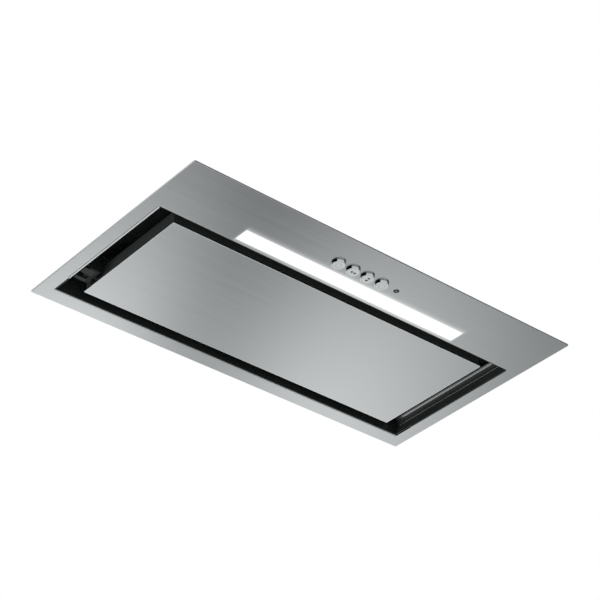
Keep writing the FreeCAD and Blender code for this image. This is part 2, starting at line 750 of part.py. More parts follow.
def filter_latch():
    """Sliding latch: a tongue through the liner, and a finger bar that is pulled back."""
    low = LATCH_TOP - LATCH_T
    plate_back = FILTER_FRONT + LATCH_L
    plate_front = FILTER_FRONT + LATCH_FROM_EDGE
    plate = box(-LATCH_W / 2, LATCH_W / 2, plate_front, plate_back, low, LATCH_TOP)
    tongue = box(-TONGUE_W / 2, TONGUE_W / 2, TONGUE_TIP, plate_front + LATCH_T, low, LATCH_TOP)
    finger = box(-FINGER_W / 2, FINGER_W / 2, plate_back - LATCH_T, plate_back, low - FINGER_H, low)
    corners = [e for e in finger.Edges if along(e, Y_AXIS) and e.BoundBox.ZMax < low - FINGER_H / 2]
    finger = finger.makeFillet(LATCH_T, corners)
    latch = joined([plate, tongue, finger])
    slots = []
    radius = LATCH_RIVET_R + LOOSE_FIT
    for x in (-LATCH_RIVET_X, LATCH_RIVET_X):
        y = latch_rivet_y()
        slots.append(box(x - radius, x + radius, y - LATCH_TRAVEL, y, low - CUT, LATCH_TOP + CUT))
        for end in (y, y - LATCH_TRAVEL):
            slots.append(rod(radius, V(x, end, low - CUT), V(x, end, LATCH_TOP + CUT)))
    return latch.cut(slots)


def latch_spring():
    """Folded leaf between the finger bar and the fixed ear, which pushes the tongue out."""
    high = LATCH_TOP - LATCH_T - SEAT_GAP
    low = high - FINGER_H + 2 * SEAT_GAP
    start = FILTER_FRONT + LATCH_L + SEAT_GAP
    end = FILTER_FRONT + LATCH_BASE_L - LATCH_BASE_T - SEAT_GAP
    step = (end - start) / LEAF_FOLDS
    fold = high - low - 4 * LEAF_T
    rise = LEAF_T * math.hypot(step, fold) / step
    x = -LEAF_W / 2
    lower = []
    upper = []
    for i in range(LEAF_FOLDS + 1):
        z = low + fold * (i % 2)
        lower.append(V(x, start + i * step, z))
        upper.append(V(x, start + i * step, z + rise))
    upper.reverse()
    return extruded(lower + upper, V(LEAF_W, 0, 0))


# Lamp

def led_diffuser():
    lens = rounded_slab(LAMP_W - 2 * LOOSE_FIT, LAMP_D - 2 * LOOSE_FIT, LAMP_Y, FACE_Z, FACE_Z + DIFFUSER_T,
                        LAMP_CORNER_R)
    rim = rounded_slab(LAMP_W + 2 * DIFFUSER_RIM, LAMP_D + 2 * DIFFUSER_RIM, LAMP_Y, SHEET_TOP,
                       FACE_Z + DIFFUSER_T, LAMP_CORNER_R + DIFFUSER_RIM)
    return joined([lens, rim])


def lamp_housing():
    shell = slab(HOUSING_W, HOUSING_D, LAMP_Y, SHEET_TOP, SHEET_TOP + HOUSING_H)
    hollow = slab(HOUSING_W - 2 * HOUSING_T, HOUSING_D - 2 * HOUSING_T, LAMP_Y, SHEET_TOP - CUT,
                  SHEET_TOP + HOUSING_H - HOUSING_T)
    return shell.cut(hollow)


def led_board():
    """Board under the housing's roof, with its row of chips."""
    top = SHEET_TOP + HOUSING_H - HOUSING_T
    low = top - LED_BOARD_T
    solids = [slab(LAMP_W, LED_BOARD_D, LAMP_Y, low, top)]
    pitch = LAMP_W / LED_COUNT
    for i in range(LED_COUNT):
        x = (i + 0.5) * pitch - LAMP_W / 2
        half = LED_SIZE / 2
        solids.append(box(x - half, x + half, LAMP_Y - half, LAMP_Y + half, low - LED_H, low))
    return Part.makeCompound(solids)


# Push buttons

def push_button(x):
    """Turned cap with a rounded edge and a shallow dish, a retaining rim and a stem."""
    face = FACE_Z - BUTTON_OUT
    rim_top = SHEET_TOP + BUTTON_RIM_T
    cap = rod(BUTTON_R, V(x, BUTTON_Y, face), V(x, BUTTON_Y, SHEET_TOP + BUTTON_RIM_T / 2))
    cap = cap.makeFillet(BUTTON_EDGE_R, [e for e in cap.Edges if at_height(e, face)])
    dish_half = BUTTON_R - BUTTON_EDGE_R
    dish_r = (dish_half ** 2 + BUTTON_DISH ** 2) / (2 * BUTTON_DISH)
    cap = cap.cut(Part.makeSphere(dish_r, V(x, BUTTON_Y, face + BUTTON_DISH - dish_r)))
    rim = rod(BUTTON_RIM_R, V(x, BUTTON_Y, SHEET_TOP), V(x, BUTTON_Y, rim_top))
    stem = rod(STEM_R, V(x, BUTTON_Y, SHEET_TOP), V(x, BUTTON_Y, STEM_TOP))
    return joined([cap, rim, stem])


def button_dome(x):
    """Soft cone between the button's rim and the guide, which pushes the button back."""
    seat = V(x, BUTTON_Y, SHEET_TOP + BUTTON_RIM_T)
    height = GUIDE_PLATE_Z - seat.z
    cone = Part.makeCone(DOME_LOW_R, DOME_HIGH_R, height, seat)
    return cone.cut(Part.makeCone(DOME_LOW_R - DOME_WALL, DOME_HIGH_R - DOME_WALL, height, seat))


def guide_box(inset, z0, z1):
    left = BUTTON_X[0] - GUIDE_END + inset
    right = INDICATOR_X + GUIDE_END - inset
    half = GUIDE_D / 2 - inset
    return box(left, right, BUTTON_Y - half, BUTTON_Y + half, z0, z1)


def button_guide():
    shell = guide_box(0, SHEET_TOP, GUIDE_TOP)
    below = guide_box(GUIDE_WALL, SHEET_TOP - CUT, GUIDE_PLATE_Z)
    above = guide_box(GUIDE_WALL, GUIDE_PLATE_Z + GUIDE_PLATE_T, GUIDE_TOP + CUT)
    holes = [below, above]
    for x in BUTTON_X:
        holes.append(rod(STEM_R + SLIDE_FIT, V(x, BUTTON_Y, 0), V(x, BUTTON_Y, GUIDE_TOP)))
    pipe_low = V(INDICATOR_X, BUTTON_Y, 0)
    holes.append(rod(LIGHT_PIPE_R + LOOSE_FIT, pipe_low, V(INDICATOR_X, BUTTON_Y, GUIDE_TOP)))
    return shell.cut(holes)


def control_board():
    """Board on the guide's walls, with a switch above each button and a lamp above the lens."""
    solids = [guide_box(0, GUIDE_TOP, GUIDE_TOP + BOARD_T)]
    half = SWITCH_W / 2
    knob_low = STEM_TOP + BUTTON_TRAVEL + SWITCH_GAP
    for x in BUTTON_X:
        body = box(x - half, x + half, BUTTON_Y - half, BUTTON_Y + half, GUIDE_TOP - SWITCH_H, GUIDE_TOP)
        knob = rod(SWITCH_KNOB_R, V(x, BUTTON_Y, knob_low), V(x, BUTTON_Y, GUIDE_TOP - SWITCH_H / 2))
        solids.append(joined([body, knob]))
    lamp_low = V(INDICATOR_X, BUTTON_Y, GUIDE_TOP - LED_H)
    solids.append(rod(LIGHT_PIPE_R, lamp_low, V(INDICATOR_X, BUTTON_Y, GUIDE_TOP)))
    return Part.makeCompound(solids)


def indicator_lens():
    low = FACE_Z - INDICATOR_OUT
    lens = rod(INDICATOR_R, V(INDICATOR_X, BUTTON_Y, low), V(INDICATOR_X, BUTTON_Y, 0))
    lens = lens.makeFillet(INDICATOR_OUT, [e for e in lens.Edges if at_height(e, low)])
    seat = V(INDICATOR_X, BUTTON_Y, SHEET_TOP)
    rim = rod(INDICATOR_RIM_R, seat, seat + Z_AXIS * SHEET)
    pipe_top = GUIDE_TOP - LED_H - SEAT_GAP
    pipe = rod(LIGHT_PIPE_R, seat, V(INDICATOR_X, BUTTON_Y, pipe_top))
    return joined([lens, rim, pipe])


# Electronics

def electronics_box():
    shell = box(BOX_LEFT, BOX_RIGHT, BOX_FRONT, BOX_BACK, DECK_Z - BOX_H, DECK_Z)
    hollow = box(BOX_LEFT + BOX_WALL, BOX_RIGHT - BOX_WALL, BOX_FRONT + BOX_WALL, BOX_BACK - BOX_WALL,
                 DECK_Z - BOX_H - CUT, DECK_Z - BOX_WALL)
    shell = shell.cut(hollow)
    pieces = [shell]
    inset = BOX_WALL + POST_R
    for x in (BOX_LEFT + inset, BOX_RIGHT - inset):
        for y in (BOX_FRONT + inset, BOX_BACK - inset):
            top = DECK_Z - BOX_WALL
            pieces.append(rod(POST_R, V(x, y, top - POST_H), V(x, y, top)))
    return joined(pieces)


def electronics_lid():
    low = DECK_Z - BOX_H - LID_T
    return box(BOX_LEFT, BOX_RIGHT, BOX_FRONT, BOX_BACK, low, low + LID_T)


def power_board_top():
    return DECK_Z - BOX_WALL - POST_H


def power_board():
    gap = BOX_WALL + LOOSE_FIT
    top = power_board_top()
    return box(BOX_LEFT + gap, BOX_RIGHT - gap, BOX_FRONT + gap, BOX_BACK - gap, top - BOARD_T, top)


def power_components():
    """Transformer, a row of relays and the motor's capacitor on the power board."""
    base = power_board_top()
    y_mid = (BOX_FRONT + BOX_BACK) / 2
    x = BOX_LEFT + BOX_WALL + 4 * POST_R
    wide, deep, high = TRANSFORMER
    solids = [box(x, x + wide, y_mid - deep / 2, y_mid + deep / 2, base, base + high)]
    x = x + wide + POST_R
    wide, deep, high = RELAY
    for i in range(RELAY_COUNT):
        left = x + i * (wide + COMPONENT_GAP)
        solids.append(box(left, left + wide, y_mid, y_mid + deep, base, base + high))
    can_y = y_mid - CAPACITOR_R - COMPONENT_GAP
    can_z = base + CAPACITOR_R
    can = rod(CAPACITOR_R, V(x, can_y, can_z), V(x + CAPACITOR_L, can_y, can_z))
    floor = box(x, x + CAPACITOR_L, can_y - CAPACITOR_R, can_y + CAPACITOR_R, base, can_z - CAPACITOR_R / 2)
    half = CAPACITOR_R / 2
    cradle = box(x + CRADLE_INSET, x + CAPACITOR_L - CRADLE_INSET, can_y - half, can_y + half, base, can_z)
    solids.append(joined([can, cradle.common(floor)]))
    return Part.makeCompound(solids)


def led_driver():
    left = DRIVER_LEFT
    case = box(left, left + DRIVER_W, BOX_FRONT, BOX_FRONT + DRIVER_D, DECK_Z - DRIVER_H, DECK_Z)
    return case.makeFillet(DRIVER_EDGE_R, [e for e in case.Edges if along(e, Z_AXIS)])


def gland_point(z):
    return V(GLAND_X, GLAND_Y, z)


def cable_gland():
    hex_top = BODY_H + GLAND_HEX_H
    cap_top = hex_top + GLAND_CAP_H
    cap = rod(GLAND_CAP_R, gland_point(hex_top), gland_point(cap_top))
    cap = cap.makeFillet(GLAND_CAP_EDGE_R, [e for e in cap.Edges if at_height(e, cap_top)])
    thread = rod(GLAND_THREAD_R, gland_point(BODY_TOP - GLAND_THREAD_L), gland_point(BODY_H))
    body = joined([hexagon(GLAND_HEX, GLAND_X, GLAND_Y, BODY_H, GLAND_HEX_H), cap, thread])
    below = gland_point(BODY_TOP - 2 * GLAND_THREAD_L)
    return body.cut(rod(GLAND_BORE_R, below, gland_point(cap_top + CUT)))


def gland_nut():
    nut = hexagon(GLAND_HEX, GLAND_X, GLAND_Y, BODY_TOP - GLAND_NUT_H, GLAND_NUT_H)
    below = gland_point(BODY_TOP - 2 * GLAND_NUT_H)
    return nut.cut(rod(GLAND_THREAD_R + SLIDE_FIT, below, gland_point(BODY_H)))


# Body

def body_side():
    """Right wall with a foot flange outwards and a top flange inwards."""
    wall = box(WALL_X - SHEET, WALL_X, -WALL_Y, WALL_Y, SHEET_TOP, BODY_TOP)
    foot = box(WALL_X, WALL_X + FOOT_FLANGE, -WALL_Y, WALL_Y, SHEET_TOP, 0)
    half = WALL_Y - SHEET - CORNER_FLANGE - FLANGE_GAP
    top = box(WALL_X - SHEET - CORNER_FLANGE, WALL_X - SHEET, -half, half, BODY_TOP - SHEET, BODY_TOP)
    return joined([wall, foot, top])


def body_end(way):
    """Front wall for way -1 and back wall for way 1, with return flanges along the side walls."""
    half = WALL_X - SHEET
    ys = sorted([way * (WALL_Y - SHEET), way * WALL_Y])
    wall = box(-half, half, ys[0], ys[1], SHEET_TOP, BODY_TOP)
    ys = sorted([way * WALL_Y, way * (WALL_Y + FOOT_FLANGE)])
    foot = box(-half, half, ys[0], ys[1], SHEET_TOP, 0)
    ys = sorted([way * (WALL_Y - SHEET), way * (WALL_Y - CORNER_FLANGE)])
    above_deck = box(half - SHEET, half, ys[0], ys[1], DECK_Z + SHEET, BODY_TOP)
    return joined([wall, foot, above_deck, mirrored(above_deck)])


def top_plate():
    plate = slab(BODY_W, BODY_D, 0, BODY_TOP, BODY_H)
    outlet = rod(COLLAR_R - COLLAR_T, V(0, 0, BODY_TOP - CUT), V(0, 0, BODY_H + CUT))
    gland = rod(GLAND_THREAD_R + SLIDE_FIT, gland_point(BODY_TOP - CUT), gland_point(BODY_H + CUT))
    return plate.cut([outlet, gland])


def filter_deck():
    plate = slab(BODY_W - 2 * SHEET, BODY_D - 2 * SHEET, 0, DECK_Z, DECK_Z + SHEET)
    return plate.cut(slab(MOUTH_W, MOUTH_D, OPENING_Y, DECK_Z - CUT, DECK_Z + SHEET + CUT))


def mounting_clip(y_mid):
    """Leaf spring on the right wall that snaps over the cabinet board."""
    wall = WALL_X
    belly = WALL_X + CLIP_REACH
    foot = WALL_X + CLIP_REACH / 3
    y = y_mid - CLIP_W / 2
    outline = [
        V(wall, y, CLIP_TOP_Z),
        V(wall, y, CLIP_ROOT_Z),
        V(belly - SHEET, y, CLIP_BELLY_Z),
        V(foot, y, CLIP_FOOT_Z + SHEET),
        V(foot, y, CLIP_FOOT_Z),
        V(belly + SHEET / 2, y, CLIP_BELLY_Z),
        V(wall + SHEET, y, CLIP_ROOT_Z),
        V(wall + SHEET, y, CLIP_TOP_Z),
    ]
    return extruded(outline, V(0, CLIP_W, 0))


# Blower

def wheel_point(r, degrees, y):
    """Point at a radius and an angle about the wheel's axis, with 0 at +X and 90 at +Z."""
    angle = math.radians(degrees)
    return V(WHEEL_X + r * math.cos(angle), y, WHEEL_Z + r * math.sin(angle))


def axle(radius, y0, y1):
    return rod(radius, V(WHEEL_X, y0, WHEEL_Z), V(WHEEL_X, y1, WHEEL_Z))


def spiral_arc(quarter, grow, start_deg, y):
    """One arc of the spiral, whose centre steps round a small square."""
    half = SPIRAL_STEP / 2
    centres = [(-half, half), (-half, -half), (half, -half), (half, half)]
    u, w = centres[quarter]
    radius = SPIRAL_R + quarter * SPIRAL_STEP + grow
    end_deg = 90 * (quarter + 1)
    points = []
    for degrees in (start_deg, (start_deg + end_deg) / 2, end_deg):
        angle = math.radians(degrees)
        points.append(V(WHEEL_X + u + radius * math.cos(angle), y, WHEEL_Z + w + radius * math.sin(angle)))
    return Part.Arc(points[0], points[1], points[2]).toShape()


def scroll_volume(grow, y0, y1):
    """Solid inside the scroll's outline, moved outwards by grow, up to the top plate."""
    cutoff_x = CUTOFF_U - grow
    start_deg = math.degrees(math.acos((cutoff_x + SPIRAL_STEP / 2) / (SPIRAL_R + grow)))
    arcs = [spiral_arc(0, grow, start_deg, y0)]
    for quarter in (1, 2, 3):
        arcs.append(spiral_arc(quarter, grow, 90 * quarter, y0))
    first = arcs[0].Vertexes[0].Point
    last = arcs[-1].Vertexes[-1].Point
    right_top = V(last.x, y0, BODY_TOP)
    left_top = V(first.x, y0, BODY_TOP)
    lines = [Part.makeLine(last, right_top), Part.makeLine(right_top, left_top)]
    lines.append(Part.makeLine(left_top, first))
    return Part.Face(Part.Wire(arcs + lines)).extrude(V(0, y1 - y0, 0))


def arm_degrees():
    return [90 + i * 360 / ARM_COUNT for i in range(ARM_COUNT)]


def motor_screw_seats():
    y = MOTOR_FRONT - ARM_T
    return [(wheel_point(ARM_R, degrees, y), Y_AXIS) for degrees in arm_degrees()]


def scroll_half(way):
    """Front half for way -1 and rear half for way 1, with a joint rim and an inlet."""
    outer = sorted([0, way * (SCROLL_HALF + SCROLL_T)])
    inner = sorted([0, way * SCROLL_HALF])
    rim = sorted([0, way * SCROLL_RIM_T])
    shell = joined([scroll_volume(SCROLL_T, *outer), scroll_volume(SCROLL_RIM, *rim)])
    lip = axle(INLET_R + SCROLL_T, way * SCROLL_HALF, way * (SCROLL_HALF + SCROLL_T + INLET_LIP))
    shell = joined([shell, lip])
    inlet = axle(INLET_R, way * SCROLL_HALF / 2, way * (SCROLL_HALF + SCROLL_T + 2 * INLET_LIP))
    shell = shell.cut([scroll_volume(0, *inner), inlet])
    if way < 0:
        holes = []
        for degrees in arm_degrees():
            start = wheel_point(ARM_R, degrees, SCROLL_FRONT - CUT)
            holes.append(rod(SCREW_R + SLIDE_FIT, start, wheel_point(ARM_R, degrees, -SCROLL_HALF + CUT)))
        shell = shell.cut(holes)
    return shell


def wheel_blade(degrees):
    low = -WHEEL_HALF + END_RING_T / 2
    sides = []
    middle = (BLADE_IN_R + BLADE_OUT_R) / 2
    for turn in (0, BLADE_ARC):
        points = [wheel_point(BLADE_IN_R, degrees + turn, low)]
        points.append(wheel_point(middle, degrees + turn + BLADE_LEAN / 4, low))
        points.append(wheel_point(BLADE_OUT_R, degrees + turn + BLADE_LEAN, low))
        sides.append(Part.Arc(points[0], points[1], points[2]).toShape())
    ends = []
    for i in (0, 1):
        ends.append(Part.makeLine(sides[0].Vertexes[i].Point, sides[1].Vertexes[i].Point))
    outline = Part.Wire([sides[0], ends[1], sides[1], ends[0]])
    return Part.Face(outline).extrude(V(0, -2 * low, 0))


def impeller():
    pieces = []
    for way in (-1, 1):
        ring = axle(WHEEL_R, way * (WHEEL_HALF - END_RING_T), way * WHEEL_HALF)
        eye = axle(BLADE_IN_R - RING_LAP, way * (WHEEL_HALF - 2 * END_RING_T), way * 2 * WHEEL_HALF)
        pieces.append(ring.cut(eye))
    pieces.append(axle(BLADE_OUT_R, DISC_Y, DISC_Y + DISC_T))
    pieces.append(axle(HUB_R, DISC_Y + DISC_T / 2, DISC_Y + HUB_L))
    for i in range(BLADE_COUNT):
        pieces.append(wheel_blade(i * 360 / BLADE_COUNT))
    wheel = joined(pieces)
    return wheel.cut(axle(SHAFT_R + SLIDE_FIT, -WHEEL_HALF, WHEEL_HALF))


def stator_front():
    return (MOTOR_FRONT + MOTOR_BACK - STATOR_L) / 2


def motor_shaft():
    return axle(SHAFT_R, MOTOR_FRONT + MOTOR_WALL + SEAT_GAP, DISC_Y + HUB_L)


def motor_rotor():
    front = stator_front()
    core = axle(ROTOR_R, front, front + STATOR_L)
    return core.cut(axle(SHAFT_R + SLIDE_FIT, front - CUT, front + STATOR_L + CUT))


def motor_stator():
    front = stator_front()
    core = axle(MOTOR_R, front, front + STATOR_L)
    return core.cut(axle(ROTOR_R + AIR_GAP, front - CUT, front + STATOR_L + CUT))


def motor_shell(end, way):
    """Cup that closes the motor at one end, with a seat for the bearing."""
    front = stator_front()
    edge = front if way > 0 else front + STATOR_L
    cup = axle(MOTOR_R, end, edge).cut(axle(MOTOR_R - MOTOR_WALL, end + way * MOTOR_WALL, edge + way))
    floor = end + way * MOTOR_WALL
    seat = axle(BEARING_R + BEARING_SEAT_T, end + way * MOTOR_WALL / 2, floor + way * BEARING_W)
    shell = joined([cup, seat]).cut(axle(BEARING_R, floor, floor + 2 * way * BEARING_W))
    if way < 0:
        shell = shell.cut(axle(SHAFT_R + SHAFT_CLEAR, end + CUT, floor - CUT))
    return shell


def motor_bearings():
    solids = []
    for end, way in ((MOTOR_FRONT, 1), (MOTOR_BACK, -1)):
        floor = end + way * MOTOR_WALL
        ring = axle(BEARING_R, floor, floor + way * BEARING_W)
        solids.append(ring.cut(axle(SHAFT_R + SLIDE_FIT, floor - way, floor + 2 * way * BEARING_W)))
    return Part.makeCompound(solids)


def motor_bracket():
    """Spider in front of the motor, held by three arms."""
    front = MOTOR_FRONT - ARM_T
    pieces = [axle(MOTOR_R - MOTOR_WALL, front, MOTOR_FRONT)]
    for degrees in arm_degrees():
        arm = box(WHEEL_X, WHEEL_X + ARM_R, front, MOTOR_FRONT, WHEEL_Z - ARM_W / 2, WHEEL_Z + ARM_W / 2)
        arm.rotate(V(WHEEL_X, 0, WHEEL_Z), Y_AXIS, -degrees)
        pieces.append(arm)
        end = wheel_point(ARM_R, degrees, front)
        pieces.append(rod(ARM_W / 2, end, end + Y_AXIS * ARM_T))
    spider = joined(pieces).cut(axle(MOTOR_R / 2, front - CUT, MOTOR_FRONT + CUT))
    return drilled(spider, motor_screw_seats())


def motor_bushes():
    solids = []
    for degrees in arm_degrees():
        start = wheel_point(ARM_R, degrees, MOTOR_FRONT)
        solids.append(tube(BUSH_R, SCREW_HOLE_R, start, wheel_point(ARM_R, degrees, SCROLL_FRONT)))
    return Part.makeCompound(solids)


# Outlet

def outlet_collar():
    """Round spigot for the duct, with a stop bead outside and a ledge for the flaps inside."""
    base_top = BODY_H + COLLAR_BASE_T
    top = BODY_H + COLLAR_H
    base = rod(COLLAR_BASE_R, V(0, 0, BODY_H), V(0, 0, base_top))
    wall = rod(COLLAR_R, V(0, 0, BODY_H), V(0, 0, top))
    bead = rod(COLLAR_R + STOP_BEAD, V(0, 0, base_top), V(0, 0, base_top + STOP_BEAD_H))
    bead = bead.makeFillet(STOP_BEAD_EDGE_R, [e for e in bead.Edges if at_height(e, base_top + STOP_BEAD_H)])
    shell = joined([base, wall, bead])
    inner_r = COLLAR_R - COLLAR_T
    shell = shell.cut(rod(inner_r, V(0, 0, BODY_H - CUT), V(0, 0, top + CUT)))
    ledge = tube(inner_r + COLLAR_T / 2, LEDGE_R, V(0, 0, LEDGE_TOP - LEDGE_T), V(0, 0, LEDGE_TOP))
    shell = joined([shell, ledge])
    rod_hole = rod(DAMPER_ROD_R + SLIDE_FIT, V(0, -COLLAR_R - CUT, ROD_Z), V(0, COLLAR_R + CUT, ROD_Z))
    return drilled(shell.cut(rod_hole), collar_screws())


def knuckle(y0):
    return rod(KNUCKLE_R, V(0, y0, ROD_Z), V(0, y0 + KNUCKLE_L, ROD_Z))


def damper_flap(way):
    """Half disc on the left for way -1 and on the right for way 1, with two hinge knuckles."""
    radius = COLLAR_R - COLLAR_T - FLAP_GAP
    pitch = KNUCKLE_L + 2 * KNUCKLE_CLEAR
    own = [-2 * pitch, 0]
    other = [-pitch, pitch]
    if way > 0:
        own, other = other, own
    disc = rod(radius, V(0, 0, FLAP_Z), V(0, 0, FLAP_Z + FLAP_T))
    edges = sorted([way * FLAP_SPLIT, way * 2 * radius])
    plate = disc.common(box(edges[0], edges[1], -radius, radius, FLAP_Z, FLAP_Z + FLAP_T))
    reach = KNUCKLE_R + KNUCKLE_CLEAR
    notches = []
    for y0 in other:
        end = y0 + KNUCKLE_L + KNUCKLE_CLEAR
        notches.append(box(-reach, reach, y0 - KNUCKLE_CLEAR, end, FLAP_Z - CUT, ROD_Z))
    flap = joined([plate.cut(notches)] + [knuckle(y0) for y0 in own])
    return flap.cut(rod(DAMPER_ROD_R + SLIDE_FIT, V(0, -radius, ROD_Z), V(0, radius, ROD_Z)))


def damper_rod():
    half = COLLAR_R - COLLAR_T / 4
    return rod(DAMPER_ROD_R, V(0, -half, ROD_Z), V(0, half, ROD_Z))


# Build every piece

def build():
    os.makedirs("parts", exist_ok=True)
    save("face_frame", face_frame())
    save("suction_liner", suction_liner())
    save("perimeter_panel", perimeter_panel())
    save("panel_backing", panel_backing())
    save("panel_ears", pair(panel_ear()))
    save("hinge_bracket", hinge_bracket())
    save("hinge_lever", hinge_lever())
    save("hinge_hanger", hinge_hanger())
    save("magnet_holders", pair(magnet_holder()))
    save("catch_magnets", pair(catch_magnet()))
    save("filter_frame", filter_frame())
    save("filter_mesh", filter_mesh())
    save("filter_latch", filter_latch())
    save("latch_spring", latch_spring())
    save("led_diffuser", led_diffuser())
    save("lamp_housing", lamp_housing())
    save("led_board", led_board())
    save("led_driver", led_driver())
    for name, x in zip(["light", "low_speed", "mid_speed", "high_speed"], BUTTON_X):
        save(name + "_button", push_button(x))
        save(name + "_dome", button_dome(x))
    save("button_guide", button_guide())
    save("control_board", control_board())
    save("indicator_lens", indicator_lens())
    save("electronics_box", electronics_box())
    save("electronics_lid", electronics_lid())
    save("power_board", power_board())
    save("power_components", power_components())
    save("cable_gland", cable_gland())
    save("gland_nut", gland_nut())
    right_holes = corner_screws() + lid_screws() + clip_screws()
    save("body_right_side", drilled(body_side(), right_holes))
    save("body_left_side", drilled(mirrored(body_side()), right_holes))
    save("body_front", drilled(body_end(-1), corner_screws()))
    save("body_back", drilled(body_end(1), corner_screws()))
    save("top_plate", drilled(top_plate(), lid_screws() + collar_screws()))
    save("filter_deck", filter_deck())
    clips = Part.makeCompound([mounting_clip(-CLIP_Y), mounting_clip(CLIP_Y)])
    clips = drilled(pair(clips), clip_screws())
    save("mounting_springs", clips)
    save("scroll_front_half", scroll_half(-1))
    save("scroll_rear_half", scroll_half(1))
    save("impeller", impeller())
    save("motor_shaft", motor_shaft())
    save("motor_rotor", motor_rotor())
    save("motor_stator", motor_stator())
    save("motor_front_shell", motor_shell(MOTOR_FRONT, 1))
    save("motor_rear_shell", motor_shell(MOTOR_BACK, -1))
    save("motor_bearings", motor_bearings())
    save("motor_bracket", motor_bracket())
    save("motor_bushes", motor_bushes())
    save("outlet_collar", outlet_collar())
    save("left_damper_flap", damper_flap(-1))
    save("right_damper_flap", damper_flap(1))
    save("damper_rod", damper_rod())
    seats = corner_screws() + lid_screws() + collar_screws() + clip_screws()
    save("pan_screws", Part.makeCompound([pan_screw(seat, way, SCREW_L) for seat, way in seats]))
    motor_screw_l = -SCROLL_HALF - MOTOR_FRONT + ARM_T
    screws = [pan_screw(seat, way, motor_screw_l) for seat, way in motor_screw_seats()]
    save("motor_screws", Part.makeCompound(screws))


build()
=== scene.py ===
import json
import math

import bmesh
import bpy
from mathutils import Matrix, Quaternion, Vector

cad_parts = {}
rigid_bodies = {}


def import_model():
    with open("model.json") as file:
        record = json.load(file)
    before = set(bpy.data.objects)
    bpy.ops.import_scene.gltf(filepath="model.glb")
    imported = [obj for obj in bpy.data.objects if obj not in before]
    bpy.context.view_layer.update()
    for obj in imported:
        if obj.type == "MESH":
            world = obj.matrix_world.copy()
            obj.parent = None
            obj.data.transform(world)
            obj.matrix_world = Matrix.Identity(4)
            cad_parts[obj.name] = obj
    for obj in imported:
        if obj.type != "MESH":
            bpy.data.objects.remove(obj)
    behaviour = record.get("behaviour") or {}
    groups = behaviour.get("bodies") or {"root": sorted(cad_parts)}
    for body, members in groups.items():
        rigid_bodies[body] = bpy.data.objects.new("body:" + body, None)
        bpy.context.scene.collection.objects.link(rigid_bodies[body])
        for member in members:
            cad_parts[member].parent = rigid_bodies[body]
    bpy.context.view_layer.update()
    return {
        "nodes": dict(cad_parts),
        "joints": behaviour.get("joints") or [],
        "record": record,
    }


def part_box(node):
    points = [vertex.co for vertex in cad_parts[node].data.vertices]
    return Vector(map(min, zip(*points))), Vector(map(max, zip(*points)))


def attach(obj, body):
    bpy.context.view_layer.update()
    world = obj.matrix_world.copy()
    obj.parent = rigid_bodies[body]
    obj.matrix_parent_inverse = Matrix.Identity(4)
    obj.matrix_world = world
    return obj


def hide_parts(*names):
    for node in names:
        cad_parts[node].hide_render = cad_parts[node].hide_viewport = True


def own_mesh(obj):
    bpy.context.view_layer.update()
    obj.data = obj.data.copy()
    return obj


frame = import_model()

MM = 0.001
EAST = Vector((1, 0, 0))
NORTH = Vector((0, 1, 0))
UP = Vector((0, 0, 1))

# Camera, solved from the photograph's 600 by 600 frame
FRAME_PX = 600
FOCAL_PX = 1952.78
SENSOR_MM = 36.0
CAMERA_PLACE = Vector((-1.14077, -1.33153, -1.17651))
CAMERA_TARGET = Vector((-0.02854, -0.02398, -0.00129))
CAMERA_ROLL_DEG = -0.839

# Floor, cabinet board and lamps
FLOOR_Z = -2.6
FLOOR_SIZE = 400.0
FLOOR_GREYS = (0.80, 0.82)
FLOOR_ROUGHNESS = 0.9
BOARD_SIZE = 8.0
BOARD_LIFT = 0.4 * MM
BOARD_GAP = 4.0 * MM
KEY_LAMP = {"place": (-2.2, -2.4, 2.6), "size": 1.6, "watts": 90}
FILL_LAMP = {"place": (-2.4, 1.6, -1.8), "size": 1.8, "watts": 55}

# Brightness of the tent that shiny surfaces see, by the X and Z of a direction
BANDS_ACROSS = [
    (-1.0, 0.70), (-0.04, 0.75), (0.38, 0.82), (0.43, 1.01), (0.448, 1.03), (0.464, 0.95),
    (0.497, 0.42), (0.515, 0.44), (0.55, 0.73), (0.572, 0.73), (0.603, 0.53), (0.635, 0.29),
    (0.70, 0.30), (0.76, 0.06), (0.84, 0.06), (1.0, 0.5),
]
BANDS_UP = [
    (-1.0, 0.70), (-0.75, 0.60), (-0.66, 0.08), (-0.622, 0.11), (-0.602, 0.49), (-0.585, 0.63),
    (-0.56, 0.78), (-0.522, 1.19), (-0.50, 1.34), (-0.40, 0.95), (0.0, 0.70), (1.0, 0.80),
]
# Share of the bands across that shows at the Z of a direction, and the plain brightness elsewhere
BANDS_SHARE = [(-1.0, 0.0), (-0.76, 0.0), (-0.68, 1.0), (-0.46, 1.0), (-0.36, 0.0), (1.0, 0.0)]
TENT_PLAIN = 0.78

# Dark cards that only reflections see, round the buttons' left sides and along the face's front edge
FLAG_GAP = 1.2 * MM
FLAG_DEG = (150.0, 218.0)
FLAG_STEPS = 12
FLAG_DROP = 2.8 * MM
EDGE_CARD_GAP = 0.6 * MM
EDGE_CARD_DROP = 0.2 * MM
EDGE_CARD_RISE = 1.2 * MM
EDGE_CARD_LEVEL = 0.15

# Range where most of a noise texture lies
NOISE_LOW = 0.3
NOISE_HIGH = 0.7

# Casts of red, green and blue in the greys of steel and of dark paints and plastics
STEEL_CAST = (0.955, 1.0, 1.01)
DARK_CAST = (0.88, 1.0, 0.97)

# Steel sheet: the painted glow near the lamp and the painted highlight along the panel's outline
PAINTED_GLOW_REACH = (0.9 * MM, 2.3 * MM)
PAINTED_GLOW_LEVEL = 0.62
RIM_HIGHLIGHT_W = 2.0 * MM
RIM_HIGHLIGHT_GREY = 0.96

